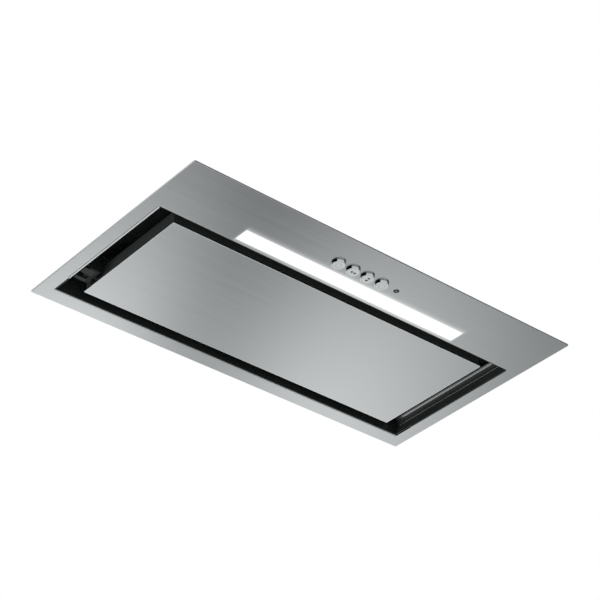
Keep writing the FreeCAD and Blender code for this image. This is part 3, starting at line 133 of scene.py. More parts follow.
# Meshes
SHARP_ANGLE = math.radians(35)
LEVEL_SLACK = 0.05 * MM
EDGE_SEARCH = 1.0 * MM
MERGE_DIST = 0.001 * MM
TURN_STEPS = 96
ROUND_STEPS = 6
SHEET_TOP = -0.8 * MM

# Push buttons, with the body that each rides on
KEYS = {
    "light_button": "light_key",
    "low_speed_button": "low_speed_key",
    "mid_speed_button": "mid_speed_key",
    "high_speed_button": "high_speed_key",
}
CAP_BARREL_R = 7.8 * MM
CAP_EDGE_R = 0.7 * MM
CAP_LAND = 0.7 * MM
CAP_DISH = 0.18 * MM
CAP_RIM_T = 1.2 * MM
CAP_STEM_R = 3.0 * MM
CAP_STEM_BEVEL = 0.4 * MM
DISH_STEPS = 8
# Shares of the dish's depth: lost from its middle to its rim, and left on the land
DISH_CURVE = 0.45
LAND_DIP = 0.1
FACE_SUNK = 0.02 * MM
FACE_LAND = 0.1 * MM
FACE_EDGE = 0.1 * MM
FACE_T = 0.4 * MM

# Printed marks
MARK_LIFT = 0.012 * MM
RING_R = 3.2 * MM
RING_W = 0.25 * MM
DOT_R = 1.4 * MM
DOT_SPAN = 1.95 * MM
# Shares of a dot's radius and of the marks' lift along its domed top
DOT_DOME = [(1.0, 1.0), (0.7, 1.5), (0.0, 1.6)]

# Indicator
COLLAR_R = 3.0 * MM
COLLAR_EDGE = 0.3 * MM
WINDOW_R = 1.8 * MM
WINDOW_SEAT = 0.25 * MM
WINDOW_SUNK = 0.3 * MM
WINDOW_DOME = 0.25 * MM
DOME_STEPS = 6
LENS_RIM_TOP = 0.0
PIPE_R = 2.0 * MM

# Expanded foil, with the height share and the lean of each layer
STRAND_W = 0.8 * MM
STRAND_T = 0.35 * MM
STRAND_LAP = 0.02 * MM
DIAMOND_L = 10.0 * MM
DIAMOND_W = 5.0 * MM
FOIL_LAYERS = [(0.15, 0.2 * MM), (0.5, -0.2 * MM), (0.8, 0.2 * MM)]

# Trims on the liner's curved deflectors
LINER_T = 1.2 * MM
COVE_Z = 2.7 * MM
COVE_R = 16.0 * MM
STRIP_T = 0.15 * MM
STRIP_GAP = 0.05 * MM
STRIP_DEG = (40.0, 49.7)
STRIP_STEPS = 8
HEM_R = 0.34 * MM
HEM_DEG = 17.4
HEM_SIDES = 16
TRIM_INSET = 1.0 * MM

# Pads under the hinge bracket, measured from the bracket's left side and the lever's slot
PAD_X = (2.0 * MM, 16.0 * MM)
BIG_PAD_Y = (-14.0 * MM, -4.6 * MM)
SMALL_PAD_Y = (3.1 * MM, 8.0 * MM)
PAD_T = 0.25 * MM
PAD_CORNER_R = 1.2 * MM
PAD_EDGE = 0.1 * MM

# Lip and a line of painted shade at the opening's left edge, and black strips of painted shade over the bend
# at its right and back edges
LIP_W = 1.8 * MM
LIP_T = 0.12 * MM
LIP_OVER = 1.3 * MM
LIP_ROOT = 0.5 * MM
SHADE_LINE_W = 0.6 * MM
SHADE_LINE_T = 0.04 * MM
SHADE_STRIP_W = 1.8 * MM
SHADE_STRIP_INSET = 0.05 * MM
BACK_SHADE_STRIP_W = 1.2 * MM
BACK_SHADE_STRIP_INSET = 0.7 * MM
SHADE_STRIP_SUNK = 0.05 * MM
SHADE_STRIP_T = 0.6 * MM
END_INSET = 2.0 * MM
BACK_CORNER = 27.0 * MM
TRIM_EDGE = 0.02 * MM
TRIM_ROUNDING = 1 / 3

# Pressed beads and spot welds
BEAD_W = 14.0 * MM
BEAD_H = 1.2 * MM
BEAD_LEVELS = 6
BEAD_STEPS = 12
BEAD_ROOT = 0.05 * MM
BEAD_TOP_DEG = 84.0
BODY_BEAD_HEIGHTS = (0.36, 0.68)
FRONT_BEAD_SHARE = 0.80
SIDE_BEAD_SHARE = 0.70
TOP_BEAD_X = 140.0 * MM
TOP_BEAD_SHARE = 0.66
PAN_BEAD_PLACES = (0.22, 0.46, 0.70)
PAN_BEAD_SHARE = 0.78
WELD_D = 5.0 * MM
WELD_H = 0.25 * MM
WELD_Z = 9.0 * MM
WELD_PITCH = 45.0 * MM


def grey(value, warm=0.0):
    """Grey, with more red and less blue where warm is above zero."""
    return (value * (1 + warm), value, value * (1 - warm))


def steel_grey(value):
    """Grey with the faint green-blue cast of satin stainless steel."""
    return tuple(value * share for share in STEEL_CAST)


def dark_grey(value):
    """Near-black with the faint green cast of the paint and plastics inside."""
    return tuple(value * share for share in DARK_CAST)


def shares(steps):
    """Even steps from 0 to 1, with both ends."""
    return [k / steps for k in range(steps + 1)]


def middle(node):
    """Middle of a node's box."""
    low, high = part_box(node)
    return (low + high) / 2


def face_box(node):
    """Corners of a node's lowest level face."""
    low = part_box(node)[0]
    points = [v.co for v in frame["nodes"][node].data.vertices if v.co.z < low.z + LEVEL_SLACK]
    xs = [p.x for p in points]
    ys = [p.y for p in points]
    return Vector((min(xs), min(ys), low.z)), Vector((max(xs), max(ys), low.z))


class NodeTree:
    """Nodes of one material or world, with short ways to make and join them."""

    def __init__(self, owner):
        owner.use_nodes = True
        self.tree = owner.node_tree
        self.tree.nodes.clear()

    def add(self, kind):
        return self.tree.nodes.new(kind)

    def give(self, socket, value):
        """Sets a socket to a number or a colour, or joins another node's output to it."""
        if isinstance(value, (int, float)):
            socket.default_value = value
        elif isinstance(value, tuple):
            socket.default_value = (*value, 1.0)
        else:
            self.tree.links.new(value, socket)

    def maths(self, operation, *values):
        """Maths on numbers or outputs."""
        node = self.add("ShaderNodeMath")
        node.operation = operation
        for socket, value in zip(node.inputs, values):
            self.give(socket, value)
        return node.outputs["Value"]

    def spread(self, source, low, high, start=NOISE_LOW, end=NOISE_HIGH):
        """Source from start to end as a number from low to high."""
        node = self.add("ShaderNodeMapRange")
        values = {"Value": source, "From Min": start, "From Max": end, "To Min": low, "To Max": high}
        for name, value in values.items():
            self.give(node.inputs[name], value)
        return node.outputs["Result"]

    def ramp(self, source, stops):
        """Colour by a number, from places and colours in order."""
        node = self.add("ShaderNodeValToRGB")
        elements = node.color_ramp.elements
        while len(elements) < len(stops):
            elements.new(0.5)
        for element, (place, colour) in zip(elements, stops):
            element.position = place
            element.color = (*colour, 1.0)
        self.give(node.inputs["Fac"], source)
        return node.outputs["Color"]

    def bands(self, component, stops):
        """Grey by one component of a direction, from places between -1 and 1."""
        share = self.spread(component, 0.0, 1.0, start=-1.0, end=1.0)
        return self.ramp(share, [((place + 1) / 2, grey(value)) for place, value in stops])

    def mixed(self, first, second, share):
        """Colour from the first to the second by a share."""
        node = self.add("ShaderNodeMixRGB")
        for name, value in (("Fac", share), ("Color1", first), ("Color2", second)):
            self.give(node.inputs[name], value)
        return node.outputs["Color"]

    def mixed_shader(self, first, second, share):
        """Shader from the first to the second by a share."""
        node = self.add("ShaderNodeMixShader")
        for socket, value in zip(node.inputs, (share, first, second)):
            self.give(socket, value)
        return node.outputs["Shader"]


class Shader(NodeTree):
    """A material around one Principled shader, with textures in the part's own frame."""

    def __init__(self, name):
        self.name = name
        self.material = bpy.data.materials.new(name)
        super().__init__(self.material)
        self.principled = self.add("ShaderNodeBsdfPrincipled")
        output = self.add("ShaderNodeOutputMaterial")
        self.give(output.inputs["Surface"], self.principled.outputs["BSDF"])
        self.place = self.add("ShaderNodeTexCoord").outputs["Object"]

    def put(self, socket, value):
        """Gives a socket of the Principled shader a number or a texture."""
        self.give(self.principled.inputs[socket], value)

    def stretched(self, per_metre):
        """Coordinates with so many texture cells for each metre along X, Y and Z."""
        mapping = self.add("ShaderNodeMapping")
        mapping.inputs["Scale"].default_value = per_metre
        self.give(mapping.inputs["Vector"], self.place)
        return mapping.outputs["Vector"]

    def noise(self, per_metre, detail=2.0):
        """Soft noise with so many cells for each metre along X, Y and Z."""
        texture = self.add("ShaderNodeTexNoise")
        texture.inputs["Scale"].default_value = 1.0
        texture.inputs["Detail"].default_value = detail
        self.give(texture.inputs["Vector"], self.stretched(per_metre))
        return texture.outputs["Fac"]

    def cells(self, per_metre):
        """A random grey for each of the uneven cells that fill the space."""
        texture = self.add("ShaderNodeTexVoronoi")
        texture.inputs["Scale"].default_value = 1.0
        self.give(texture.inputs["Vector"], self.stretched((per_metre, per_metre, per_metre)))
        plain = self.add("ShaderNodeRGBToBW")
        self.give(plain.inputs["Color"], texture.outputs["Color"])
        return plain.outputs["Val"]

    def tint(self, source, dark, light, start=NOISE_LOW, end=NOISE_HIGH):
        """Source from start to end as a colour from dark to light."""
        return self.ramp(source, [(start, dark), (end, light)])

    def blend(self, first, second, share):
        """Two textures' numbers mixed, with a share of the second."""
        mix = self.add("ShaderNodeMix")
        for name, value in (("Factor", share), ("A", first), ("B", second)):
            self.give(mix.inputs[name], value)
        return mix.outputs["Result"]

    def bump(self, source, height):
        """Relief of so many metres from a texture."""
        bump = self.add("ShaderNodeBump")
        bump.inputs["Strength"].default_value = 1.0
        bump.inputs["Distance"].default_value = height
        self.give(bump.inputs["Height"], source)
        self.put("Normal", bump.outputs["Normal"])

    def turn_tangent(self, axis):
        """Turns the tangent of anisotropic reflections round an axis."""
        tangent = self.add("ShaderNodeTangent")
        tangent.direction_type = "RADIAL"
        tangent.axis = axis
        self.put("Tangent", tangent.outputs["Tangent"])

    def past(self, low, high):
        """Distances past the sides of a level box along X and Y, below zero inside it."""
        parts = self.add("ShaderNodeSeparateXYZ")
        self.give(parts.inputs["Vector"], self.place)
        distances = []
        for axis, start, end in (("X", low.x, high.x), ("Y", low.y, high.y)):
            offset = self.maths("SUBTRACT", parts.outputs[axis], (start + end) / 2)
            distances.append(self.maths("SUBTRACT", self.maths("ABSOLUTE", offset), (end - start) / 2))
        return distances

    def painted_lamp_glow(self):
        """Painted glow that stands in for the lamp's light on the sheet round it: 1 at its edge, fading
        outwards.
        """
        squares = []
        for distance, reach in zip(self.past(*face_box("led_diffuser")), PAINTED_GLOW_REACH):
            share = self.maths("DIVIDE", self.maths("MAXIMUM", distance, 0), reach)
            squares.append(self.maths("MULTIPLY", share, share))
        distance = self.maths("SQRT", self.maths("ADD", *squares))
        return self.maths("EXPONENT", self.maths("MULTIPLY", distance, -1))

    def painted_rim_highlight(self):
        """Share of painted highlight: 1 at the panel's outline, fading within a narrow band."""
        outside = self.maths("MAXIMUM", *self.past(*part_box("perimeter_panel")))
        return self.spread(self.maths("ABSOLUTE", outside), 1.0, 0.0, start=0.0, end=RIM_HIGHLIGHT_W)


def brushed_stainless():
    """Satin steel sheet with its grain along X, with a painted highlight along the panel's outline and a
    painted glow near the lamp.
    """
    shader = Shader("brushed_stainless")
    fine = shader.noise((7, 1700, 1700), detail=3.0)
    broad = shader.noise((2, 130, 130))
    grain = shader.blend(fine, broad, share=0.35)
    sheet = shader.tint(grain, steel_grey(0.775), steel_grey(0.825))
    # Painted highlight: paler steel in a narrow band along the panel's outline, where its rounded edge
    # catches light.
    shader.put("Base Color", shader.mixed(sheet, steel_grey(RIM_HIGHLIGHT_GREY), shader.painted_rim_highlight()))
    shader.put("Roughness", shader.spread(grain, 0.14, 0.17))
    shader.put("Metallic", 1.0)
    shader.put("Anisotropic", 0.75)
    shader.turn_tangent("X")
    shader.bump(fine, height=0.0015 * MM)
    # Painted glow: the steel itself emits light round the lamp, standing in for the lamp's light falling
    # there.
    shader.put("Emission Strength", PAINTED_GLOW_LEVEL)
    shader.put("Emission Color", shader.tint(shader.painted_lamp_glow(), grey(0.0), grey(1.0), start=0.0, end=1.0))
    return shader


def galvanised():
    """Zinc coated sheet with large soft spangles."""
    shader = Shader("zinc_steel")
    spangle = shader.cells(100)
    fleck = shader.noise((500, 500, 500), detail=3.0)
    shade = shader.blend(spangle, fleck, share=0.45)
    shader.put("Base Color", shader.tint(shade, grey(0.51, -0.02), grey(0.64, -0.02), start=0.2, end=0.8))
    shader.put("Roughness", shader.spread(shade, 0.40, 0.50))
    shader.put("Metallic", 1.0)
    shader.bump(fleck, height=0.01 * MM)
    return shader


def painted(name, dark, light, rough, peel=0.01 * MM, gloss=0.5):
    """Sprayed paint with a cloudy tint and an orange peel of so many metres."""
    shader = Shader(name)
    shader.put("Specular IOR Level", gloss)
    cloud = shader.noise((18, 18, 18), detail=4.0)
    shader.put("Base Color", shader.tint(cloud, dark, light))
    shader.put("Roughness", shader.spread(cloud, *rough))
    shader.bump(shader.noise((420, 420, 420)), height=peel)
    return shader


def moulded(name, dark, light, rough, gloss=0.5):
    """Moulded plastic or rubber with a fine spark-eroded texture."""
    shader = Shader(name)
    shader.put("Specular IOR Level", gloss)
    cloud = shader.noise((30, 30, 30), detail=3.0)
    grains = shader.noise((1500, 1500, 1500))
    shader.put("Base Color", shader.tint(shader.blend(cloud, grains, share=0.4), dark, light))
    shader.put("Roughness", shader.spread(grains, *rough))
    shader.bump(grains, height=0.02 * MM)
    return shader


def satin_steel():
    """Bead-blasted steel, pale and even."""
    shader = Shader("bright_steel")
    grains = shader.noise((1800, 1800, 1800))
    shader.put("Base Color", shader.tint(grains, steel_grey(0.62), steel_grey(0.68)))
    shader.put("Roughness", shader.spread(grains, 0.34, 0.40))
    shader.put("Metallic", 0.45)
    shader.bump(grains, height=0.001 * MM)
    return shader


def metal(name, dark, light, rough, per_metre=(60, 900, 900), relief=0.003 * MM):
    """Plain metal with fine drawn or turned lines."""
    shader = Shader(name)
    lines = shader.noise(per_metre, detail=3.0)
    shader.put("Base Color", shader.tint(lines, dark, light))
    shader.put("Roughness", shader.spread(lines, *rough))
    shader.put("Metallic", 1.0)
    shader.bump(lines, height=relief)
    return shader


def opal():
    """Diffuser that is lit from behind."""
    shader = Shader("opal")
    cloud = shader.noise((25, 25, 25))
    shader.put("Base Color", shader.tint(cloud, grey(0.28), grey(0.32)))
    shader.put("Roughness", shader.spread(cloud, 0.50, 0.60))
    shader.put("Emission Color", shader.tint(cloud, grey(0.985), grey(1.0)))
    shader.put("Emission Strength", 0.80)
    return shader


def smoke_lens():
    """Dark lens with a soft gloss."""
    shader = Shader("smoke_lens")
    cloud = shader.noise((700, 700, 700))
    shader.put("Base Color", shader.tint(cloud, grey(0.10), grey(0.16)))
    shader.put("Roughness", shader.spread(cloud, 0.12, 0.2))
    return shader


def make_materials():
    """Material of each slot, by the slot's name."""
    spring_lines = (200, 40, 200)
    layer_lines = (20, 2000, 20)
    screw_grain = (900, 900, 900)
    shaders = [
        brushed_stainless(),
        galvanised(),
        painted("black_enamel", dark_grey(0.016), dark_grey(0.022), rough=(0.20, 0.30), gloss=0.35),
        painted("black_pan", dark_grey(0.036), dark_grey(0.044), rough=(0.32, 0.42)),
        painted("motor_paint", grey(0.07), grey(0.10), rough=(0.4, 0.5), peel=0.02 * MM),
        moulded("grey_plastic", dark_grey(0.016), dark_grey(0.022), rough=(0.40, 0.55), gloss=0.35),
        moulded("black_plastic", dark_grey(0.012), dark_grey(0.018), rough=(0.42, 0.58), gloss=0.1),
        moulded("white_plastic", grey(0.74, 0.01), grey(0.80, 0.01), rough=(0.35, 0.5)),
        moulded("component_blue", (0.04, 0.09, 0.22), (0.06, 0.12, 0.28), rough=(0.35, 0.5)),
        moulded("board_green", (0.025, 0.14, 0.06), (0.04, 0.19, 0.08), rough=(0.25, 0.4)),
        moulded("silicone", grey(0.50), grey(0.56), rough=(0.45, 0.6)),
        moulded("rubber_black", grey(0.014), grey(0.022), rough=(0.65, 0.8)),
        moulded("magnet", grey(0.09), grey(0.13), rough=(0.5, 0.65)),
        metal("filter_aluminium", grey(0.66, -0.01), grey(0.76, -0.01), rough=(0.32, 0.45)),
        metal("spring_steel", steel_grey(0.45), steel_grey(0.51), rough=(0.20, 0.24),
              per_metre=spring_lines, relief=0.0004 * MM),
        metal("button_steel", steel_grey(0.86), steel_grey(0.92), rough=(0.13, 0.18)),
        metal("lamination", grey(0.18), grey(0.26), rough=(0.45, 0.6), per_metre=layer_lines),
        satin_steel(),
        metal("zinc_screw", grey(0.52, 0.02), grey(0.60, 0.02), rough=(0.25, 0.38), per_metre=screw_grain),
        opal(),
        smoke_lens(),
    ]
    return {shader.name: shader.material for shader in shaders}


def dress_nodes(materials):
    """Gives each solid of the frame the material of its slot."""
    for entry in frame["record"]["subparts"]:
        slots = frame["nodes"][entry["node"]].data.materials
        slots.clear()
        slots.append(materials[entry["material_slot"]])


def add_camera():
    """Camera at the photograph's viewing angle."""
    lens = bpy.data.cameras.new("photo_camera")
    lens.sensor_width = SENSOR_MM
    lens.lens = SENSOR_MM * FOCAL_PX / FRAME_PX
    lens.clip_end = 2 * FLOOR_SIZE
    camera = bpy.data.objects.new("photo_camera", lens)
    look = (CAMERA_TARGET - CAMERA_PLACE).to_track_quat("-Z", "Y")
    roll = Quaternion(UP, math.radians(CAMERA_ROLL_DEG))
    camera.location = CAMERA_PLACE
    camera.rotation_euler = (look @ roll).to_euler()
    bpy.context.scene.collection.objects.link(camera)
    bpy.context.scene.camera = camera


def light_world():
    """White for the camera, a banded soft tent for reflections, and even light elsewhere."""
    world = bpy.data.worlds.new("studio")
    nodes = NodeTree(world)

    def background(colour):
        node = nodes.add("ShaderNodeBackground")
        nodes.give(node.inputs["Color"], colour)
        return node.outputs["Background"]

    direction = nodes.add("ShaderNodeSeparateXYZ")
    nodes.give(direction.inputs["Vector"], nodes.add("ShaderNodeTexCoord").outputs["Generated"])
    across = nodes.bands(direction.outputs["X"], BANDS_ACROSS)
    share = nodes.bands(direction.outputs["Z"], BANDS_SHARE)
    tent = nodes.add("ShaderNodeVectorMath")
    tent.operation = "MULTIPLY"
    nodes.give(tent.inputs[0], nodes.mixed(grey(TENT_PLAIN), across, share))
    nodes.give(tent.inputs[1], nodes.bands(direction.outputs["Z"], BANDS_UP))
    path = nodes.add("ShaderNodeLightPath").outputs
    shiny = nodes.maths("MAXIMUM", path["Is Glossy Ray"], path["Is Transmission Ray"])
    unseen = nodes.mixed_shader(background(grey(1.0)), background(tent.outputs["Vector"]), shiny)
    light = nodes.mixed_shader(unseen, background(grey(1.0)), path["Is Camera Ray"])
    nodes.give(nodes.add("ShaderNodeOutputWorld").inputs["Surface"], light)
    bpy.context.scene.world = world


def add_lamp(name, place, size, watts):
    """Round soft lamp that points at the part's origin."""
    lamp = bpy.data.lights.new(name, "AREA")
    lamp.shape = "DISK"
    lamp.size = size
    lamp.energy = watts
    obj = bpy.data.objects.new(name, lamp)
    obj.location = place
    obj.rotation_euler = (-Vector(place)).to_track_quat("-Z", "Y").to_euler()
    obj.visible_glossy = False
    bpy.context.scene.collection.objects.link(obj)


def mesh_object(name, bm):
    """Object from a built mesh, smooth but for its sharp edges."""
    for face in bm.faces:
        face.smooth = True
    for edge in bm.edges:
        edge.smooth = edge.is_manifold and edge.calc_face_angle() < SHARP_ANGLE
    mesh = bpy.data.meshes.new(name)
    bm.to_mesh(mesh)
    bm.free()
    obj = bpy.data.objects.new(name, mesh)
    bpy.context.scene.collection.objects.link(obj)
    return obj


def solid_object(name, bm):
    """Object from closed forms, with their faces turned outwards."""
    bmesh.ops.recalc_face_normals(bm, faces=bm.faces)
    return mesh_object(name, bm)


def front_face(bm, corners, front):
    """Face on corner points, with its front along a direction."""
    face = bm.faces.new(corners)
    face.normal_update()
    if face.normal.dot(front) < 0:
        face.normal_flip()


def bridge(bm, rings):
    """Faces from each ring of points to the next, where a ring may also be a single point."""
    for first, second in zip(rings, rings[1:]):
        for k in range(max(len(first), len(second))):
            corners = []
            for ring, place in ((first, k), (first, k + 1), (second, k + 1), (second, k)):
                corners.append(ring[place % len(ring)])
            bm.faces.new(list(dict.fromkeys(corners)))


def loft(bm, rings):
    """Closed form through rings of points, with a face over each end."""
    bridge(bm, rings)
    bm.faces.new(rings[0][::-1])
    bm.faces.new(rings[-1])


def circle(bm, centre, radius, z):
    """Level ring of points round an upright axis, or one point where the radius is zero."""
    ring = []
    for k in range(TURN_STEPS if radius > 0 else 1):
        angle = 2 * math.pi * k / TURN_STEPS
        place = (centre.x + radius * math.cos(angle), centre.y + radius * math.sin(angle), z)
        ring.append(bm.verts.new(place))
    return ring


def turned(name, centre, profile):
    """Solid turned round an upright axis, from radii and heights that start and end at the axis."""
    bm = bmesh.new()
    bridge(bm, [circle(bm, centre, radius, z) for radius, z in profile])
    return solid_object(name, bm)


def round_edge(radius, z, edge_r):
    """Profile points of a rounded edge between a level face at z and an upright wall above it."""
    points = []
    for share in shares(ROUND_STEPS):
        angle = math.pi / 2 * share
        points.append((radius - edge_r + edge_r * math.sin(angle), z + edge_r - edge_r * math.cos(angle)))
    return points


def rounded_plate(name, low, high, corner_r, edge):
    """Flat plate between two corners, with round corners and a chamfer round its underside."""
    bm = bmesh.new()
    rings = []
    for z, inset in ((low.z, edge), (low.z + edge, 0.0), (high.z, 0.0)):
        reach = corner_r - inset
        ring = []
        for x_sign, y_sign, quarter in ((1, 1, 0), (-1, 1, 1), (-1, -1, 2), (1, -1, 3)):
            corner_x = (high.x if x_sign > 0 else low.x) - x_sign * corner_r
            corner_y = (high.y if y_sign > 0 else low.y) - y_sign * corner_r
            for share in shares(ROUND_STEPS):
                angle = math.pi / 2 * (quarter + share)
                place = (corner_x + reach * math.cos(angle), corner_y + reach * math.sin(angle), z)
                ring.append(bm.verts.new(place))
        rings.append(ring)
    loft(bm, rings)
    return solid_object(name, bm)


def sweep(bm, section, front, back):
    """Closed section of X and Z pairs drawn along Y."""
    loft(bm, [[bm.verts.new((x, y, z)) for x, z in section] for y in (front, back)])


def fit(piece, body, slot, materials, *nodes):
    """Puts a piece on its body, with its material, in place of the nodes that it stands for."""
    piece.data.materials.append(materials[slot])
    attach(piece, body)
    if nodes:
        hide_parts(*nodes)


def button_cap(node, body, materials):
    """Polished cap with a raised land round a dished face, on its rim and stem."""
    low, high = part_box(node)
    rim_r = (high.x - low.x) / 2
    rim_top = SHEET_TOP + CAP_RIM_T
    land_r = CAP_BARREL_R - CAP_EDGE_R
    dish_r = land_r - CAP_LAND
    profile = []
    for share in shares(DISH_STEPS):
        profile.append((dish_r * share, low.z + CAP_DISH * (1 - DISH_CURVE * share ** 2)))
    profile.append((land_r - CAP_LAND / 2, low.z + LAND_DIP * CAP_DISH))
    profile += round_edge(CAP_BARREL_R, low.z, CAP_EDGE_R)
    profile += [(CAP_BARREL_R, SHEET_TOP), (rim_r, SHEET_TOP), (rim_r, rim_top), (CAP_STEM_R, rim_top)]
    profile += [(CAP_STEM_R, high.z - CAP_STEM_BEVEL), (CAP_STEM_R - CAP_STEM_BEVEL, high.z), (0, high.z)]
    fit(turned(node + "_cap", middle(node), profile), body, "button_steel", materials, node)


def cap_face(node, body, materials):
    """Satin disc let into a cap's dish."""
    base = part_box(node)[0].z + FACE_SUNK
    top = base + FACE_T
    radius = CAP_BARREL_R - CAP_EDGE_R - FACE_LAND
    profile = [(0, base), (radius - FACE_EDGE, base), (radius, base + FACE_EDGE), (radius, top), (0, top)]
    fit(turned(node + "_face", middle(node), profile), body, "bright_steel", materials)


def ring_mark(node, body, materials):
    """Thin printed ring on a cap's face."""
    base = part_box(node)[0].z + FACE_SUNK
    front = base - MARK_LIFT
    outer_r = RING_R + RING_W
    bm = bmesh.new()
    section = ((RING_R, base), (RING_R, front), (outer_r, front), (outer_r, base))
    rings = [circle(bm, middle(node), radius, z) for radius, z in section]
    bridge(bm, rings + rings[:1])
    fit(solid_object(node + "_ring", bm), body, "smoke_lens", materials)


def dot_marks(node, body, way, materials):
    """Two printed dots on a cap's face, in line along a direction."""
    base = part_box(node)[0].z + FACE_SUNK
    profile = [(0, base), (DOT_R, base)]
    profile += [(DOT_R * across, base - MARK_LIFT * lift) for across, lift in DOT_DOME]
    for name, sign in (("first", -1), ("second", 1)):
        spot = middle(node) + way * (sign * DOT_SPAN)
        fit(turned(f"{node}_{name}_dot", spot, profile), body, "rubber_black", materials)


def indicator(materials):
    """Dark collar round a small domed window on its light pipe."""
    low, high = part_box("indicator_lens")
    centre = middle("indicator_lens")
    rim_r = (high.x - low.x) / 2
    seat_z = low.z + WINDOW_SEAT
    collar = [(0, SHEET_TOP), (COLLAR_R, SHEET_TOP)]
    collar += round_edge(COLLAR_R, low.z, COLLAR_EDGE)[::-1]
    collar += [(WINDOW_R + COLLAR_EDGE, low.z), (WINDOW_R, seat_z), (0, seat_z)]
    fit(turned("indicator_collar", centre, collar), "hood", "black_plastic", materials)
    window = []
    for share in shares(DOME_STEPS):
        window.append((WINDOW_R * share, low.z + WINDOW_SUNK - WINDOW_DOME * (1 - share ** 2)))
    window += [(WINDOW_R, SHEET_TOP), (rim_r, SHEET_TOP), (rim_r, LENS_RIM_TOP)]
    window += [(PIPE_R, LENS_RIM_TOP), (PIPE_R, high.z), (0, high.z)]
    fit(turned("indicator_window", centre, window), "hood", "smoke_lens", materials, "indicator_lens")


def foil_layer(bm, low, high, z, tilt):
    """Zigzag strands of expanded foil between two corners, joined where they meet."""
    pitch = DIAMOND_L / 2
    rows = int((high.y - low.y) / DIAMOND_W)
    steps = int((high.x - low.x) / pitch)
    start_x = (low.x + high.x - steps * pitch) / 2
    start_y = (low.y + high.y - (rows - 1) * DIAMOND_W) / 2
    half = STRAND_W / 2
    swing = DIAMOND_W / 2 - half + STRAND_LAP
    for row in range(rows):
        sections = []
        for step in range(steps + 1):
            side = 1 if (step + row) % 2 else -1
            x = start_x + step * pitch
            y = start_y + row * DIAMOND_W + side * swing
            section = []
            for edge, rise in ((-1, 0), (1, 0), (1, STRAND_T), (-1, STRAND_T)):
                section.append(bm.verts.new((x, y + edge * half, z + edge * side * tilt + rise)))
            sections.append(section)
        loft(bm, sections)


def filter_foil(materials):
    """Layers of expanded foil in the filter's frame."""
    low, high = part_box("filter_mesh")
    bm = bmesh.new()
    for share, tilt in FOIL_LAYERS:
        foil_layer(bm, low, high, low.z + share * (high.z - low.z), tilt)
    fit(solid_object("filter_foil", bm), "hood", "filter_aluminium", materials, "filter_mesh")


def cove_ends(wall_x, sign):
    """Front and back ends of the trims on a deflector, a little inside its own ends."""
    ys = []
    for vertex in frame["nodes"]["suction_liner"].data.vertices:
        x, y, z = vertex.co
        if STRIP_T < wall_x - sign * x < COVE_R / 2 and COVE_Z < z < COVE_Z + COVE_R:
            ys.append(y)
    return min(ys) + TRIM_INSET, max(ys) - TRIM_INSET


def cove_trims(materials):
    """Satin strip and rolled hem on the curved deflectors at both ends of the liner."""
    wall_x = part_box("suction_liner")[1].x - LINER_T
    start, end = STRIP_DEG

    def on_cove(radius, degrees):
        angle = math.radians(degrees)
        return wall_x - COVE_R + radius * math.cos(angle), COVE_Z + radius * math.sin(angle)

    for side, sign in (("left", -1), ("right", 1)):
        outer = []
        inner = []
        for share in shares(STRIP_STEPS):
            degrees = start + (end - start) * share
            outer.append(on_cove(COVE_R - STRIP_GAP, degrees))
            inner.append(on_cove(COVE_R - STRIP_GAP - STRIP_T, degrees))
        hem_x, hem_z = on_cove(COVE_R - HEM_R, HEM_DEG)
        hem = []
        for k in range(HEM_SIDES):
            angle = 2 * math.pi * k / HEM_SIDES
            hem.append((hem_x + HEM_R * math.cos(angle), hem_z + HEM_R * math.sin(angle)))
        bm = bmesh.new()
        for section in (outer + inner[::-1], hem):
            sweep(bm, [(sign * x, z) for x, z in section], *cove_ends(wall_x, sign))
        fit(solid_object(side + "_cove_trim", bm), "hood", "spring_steel", materials)


def bracket_pads(materials):
    """Grey pads under the hinge bracket, on both sides of the lever's slot."""
    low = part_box("hinge_bracket")[0]
    slot_y = middle("hinge_lever").y
    for name, (front, back) in (("big_pad", BIG_PAD_Y), ("small_pad", SMALL_PAD_Y)):
        pad_low = Vector((low.x + PAD_X[0], slot_y + front, low.z - PAD_T))
        pad_high = Vector((low.x + PAD_X[1], slot_y + back, low.z))
        pad = rounded_plate(name, pad_low, pad_high, PAD_CORNER_R, PAD_EDGE)
        fit(pad, "hood", "grey_plastic", materials)


def opening_edges():
    """Left, front and back edges of the suction opening in the face."""
    face_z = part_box("face_frame")[0].z
    low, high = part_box("suction_liner")
    xs = []
    ys = []
    for vertex in frame["nodes"]["face_frame"].data.vertices:
        x, y, z = vertex.co
        beside_x = low.x - EDGE_SEARCH < x < high.x + EDGE_SEARCH
        beside_y = low.y - EDGE_SEARCH < y < high.y + EDGE_SEARCH
        if beside_x and beside_y and z < face_z + LEVEL_SLACK:
            xs.append(x)
            ys.append(y)
    return min(xs), min(ys), max(ys)


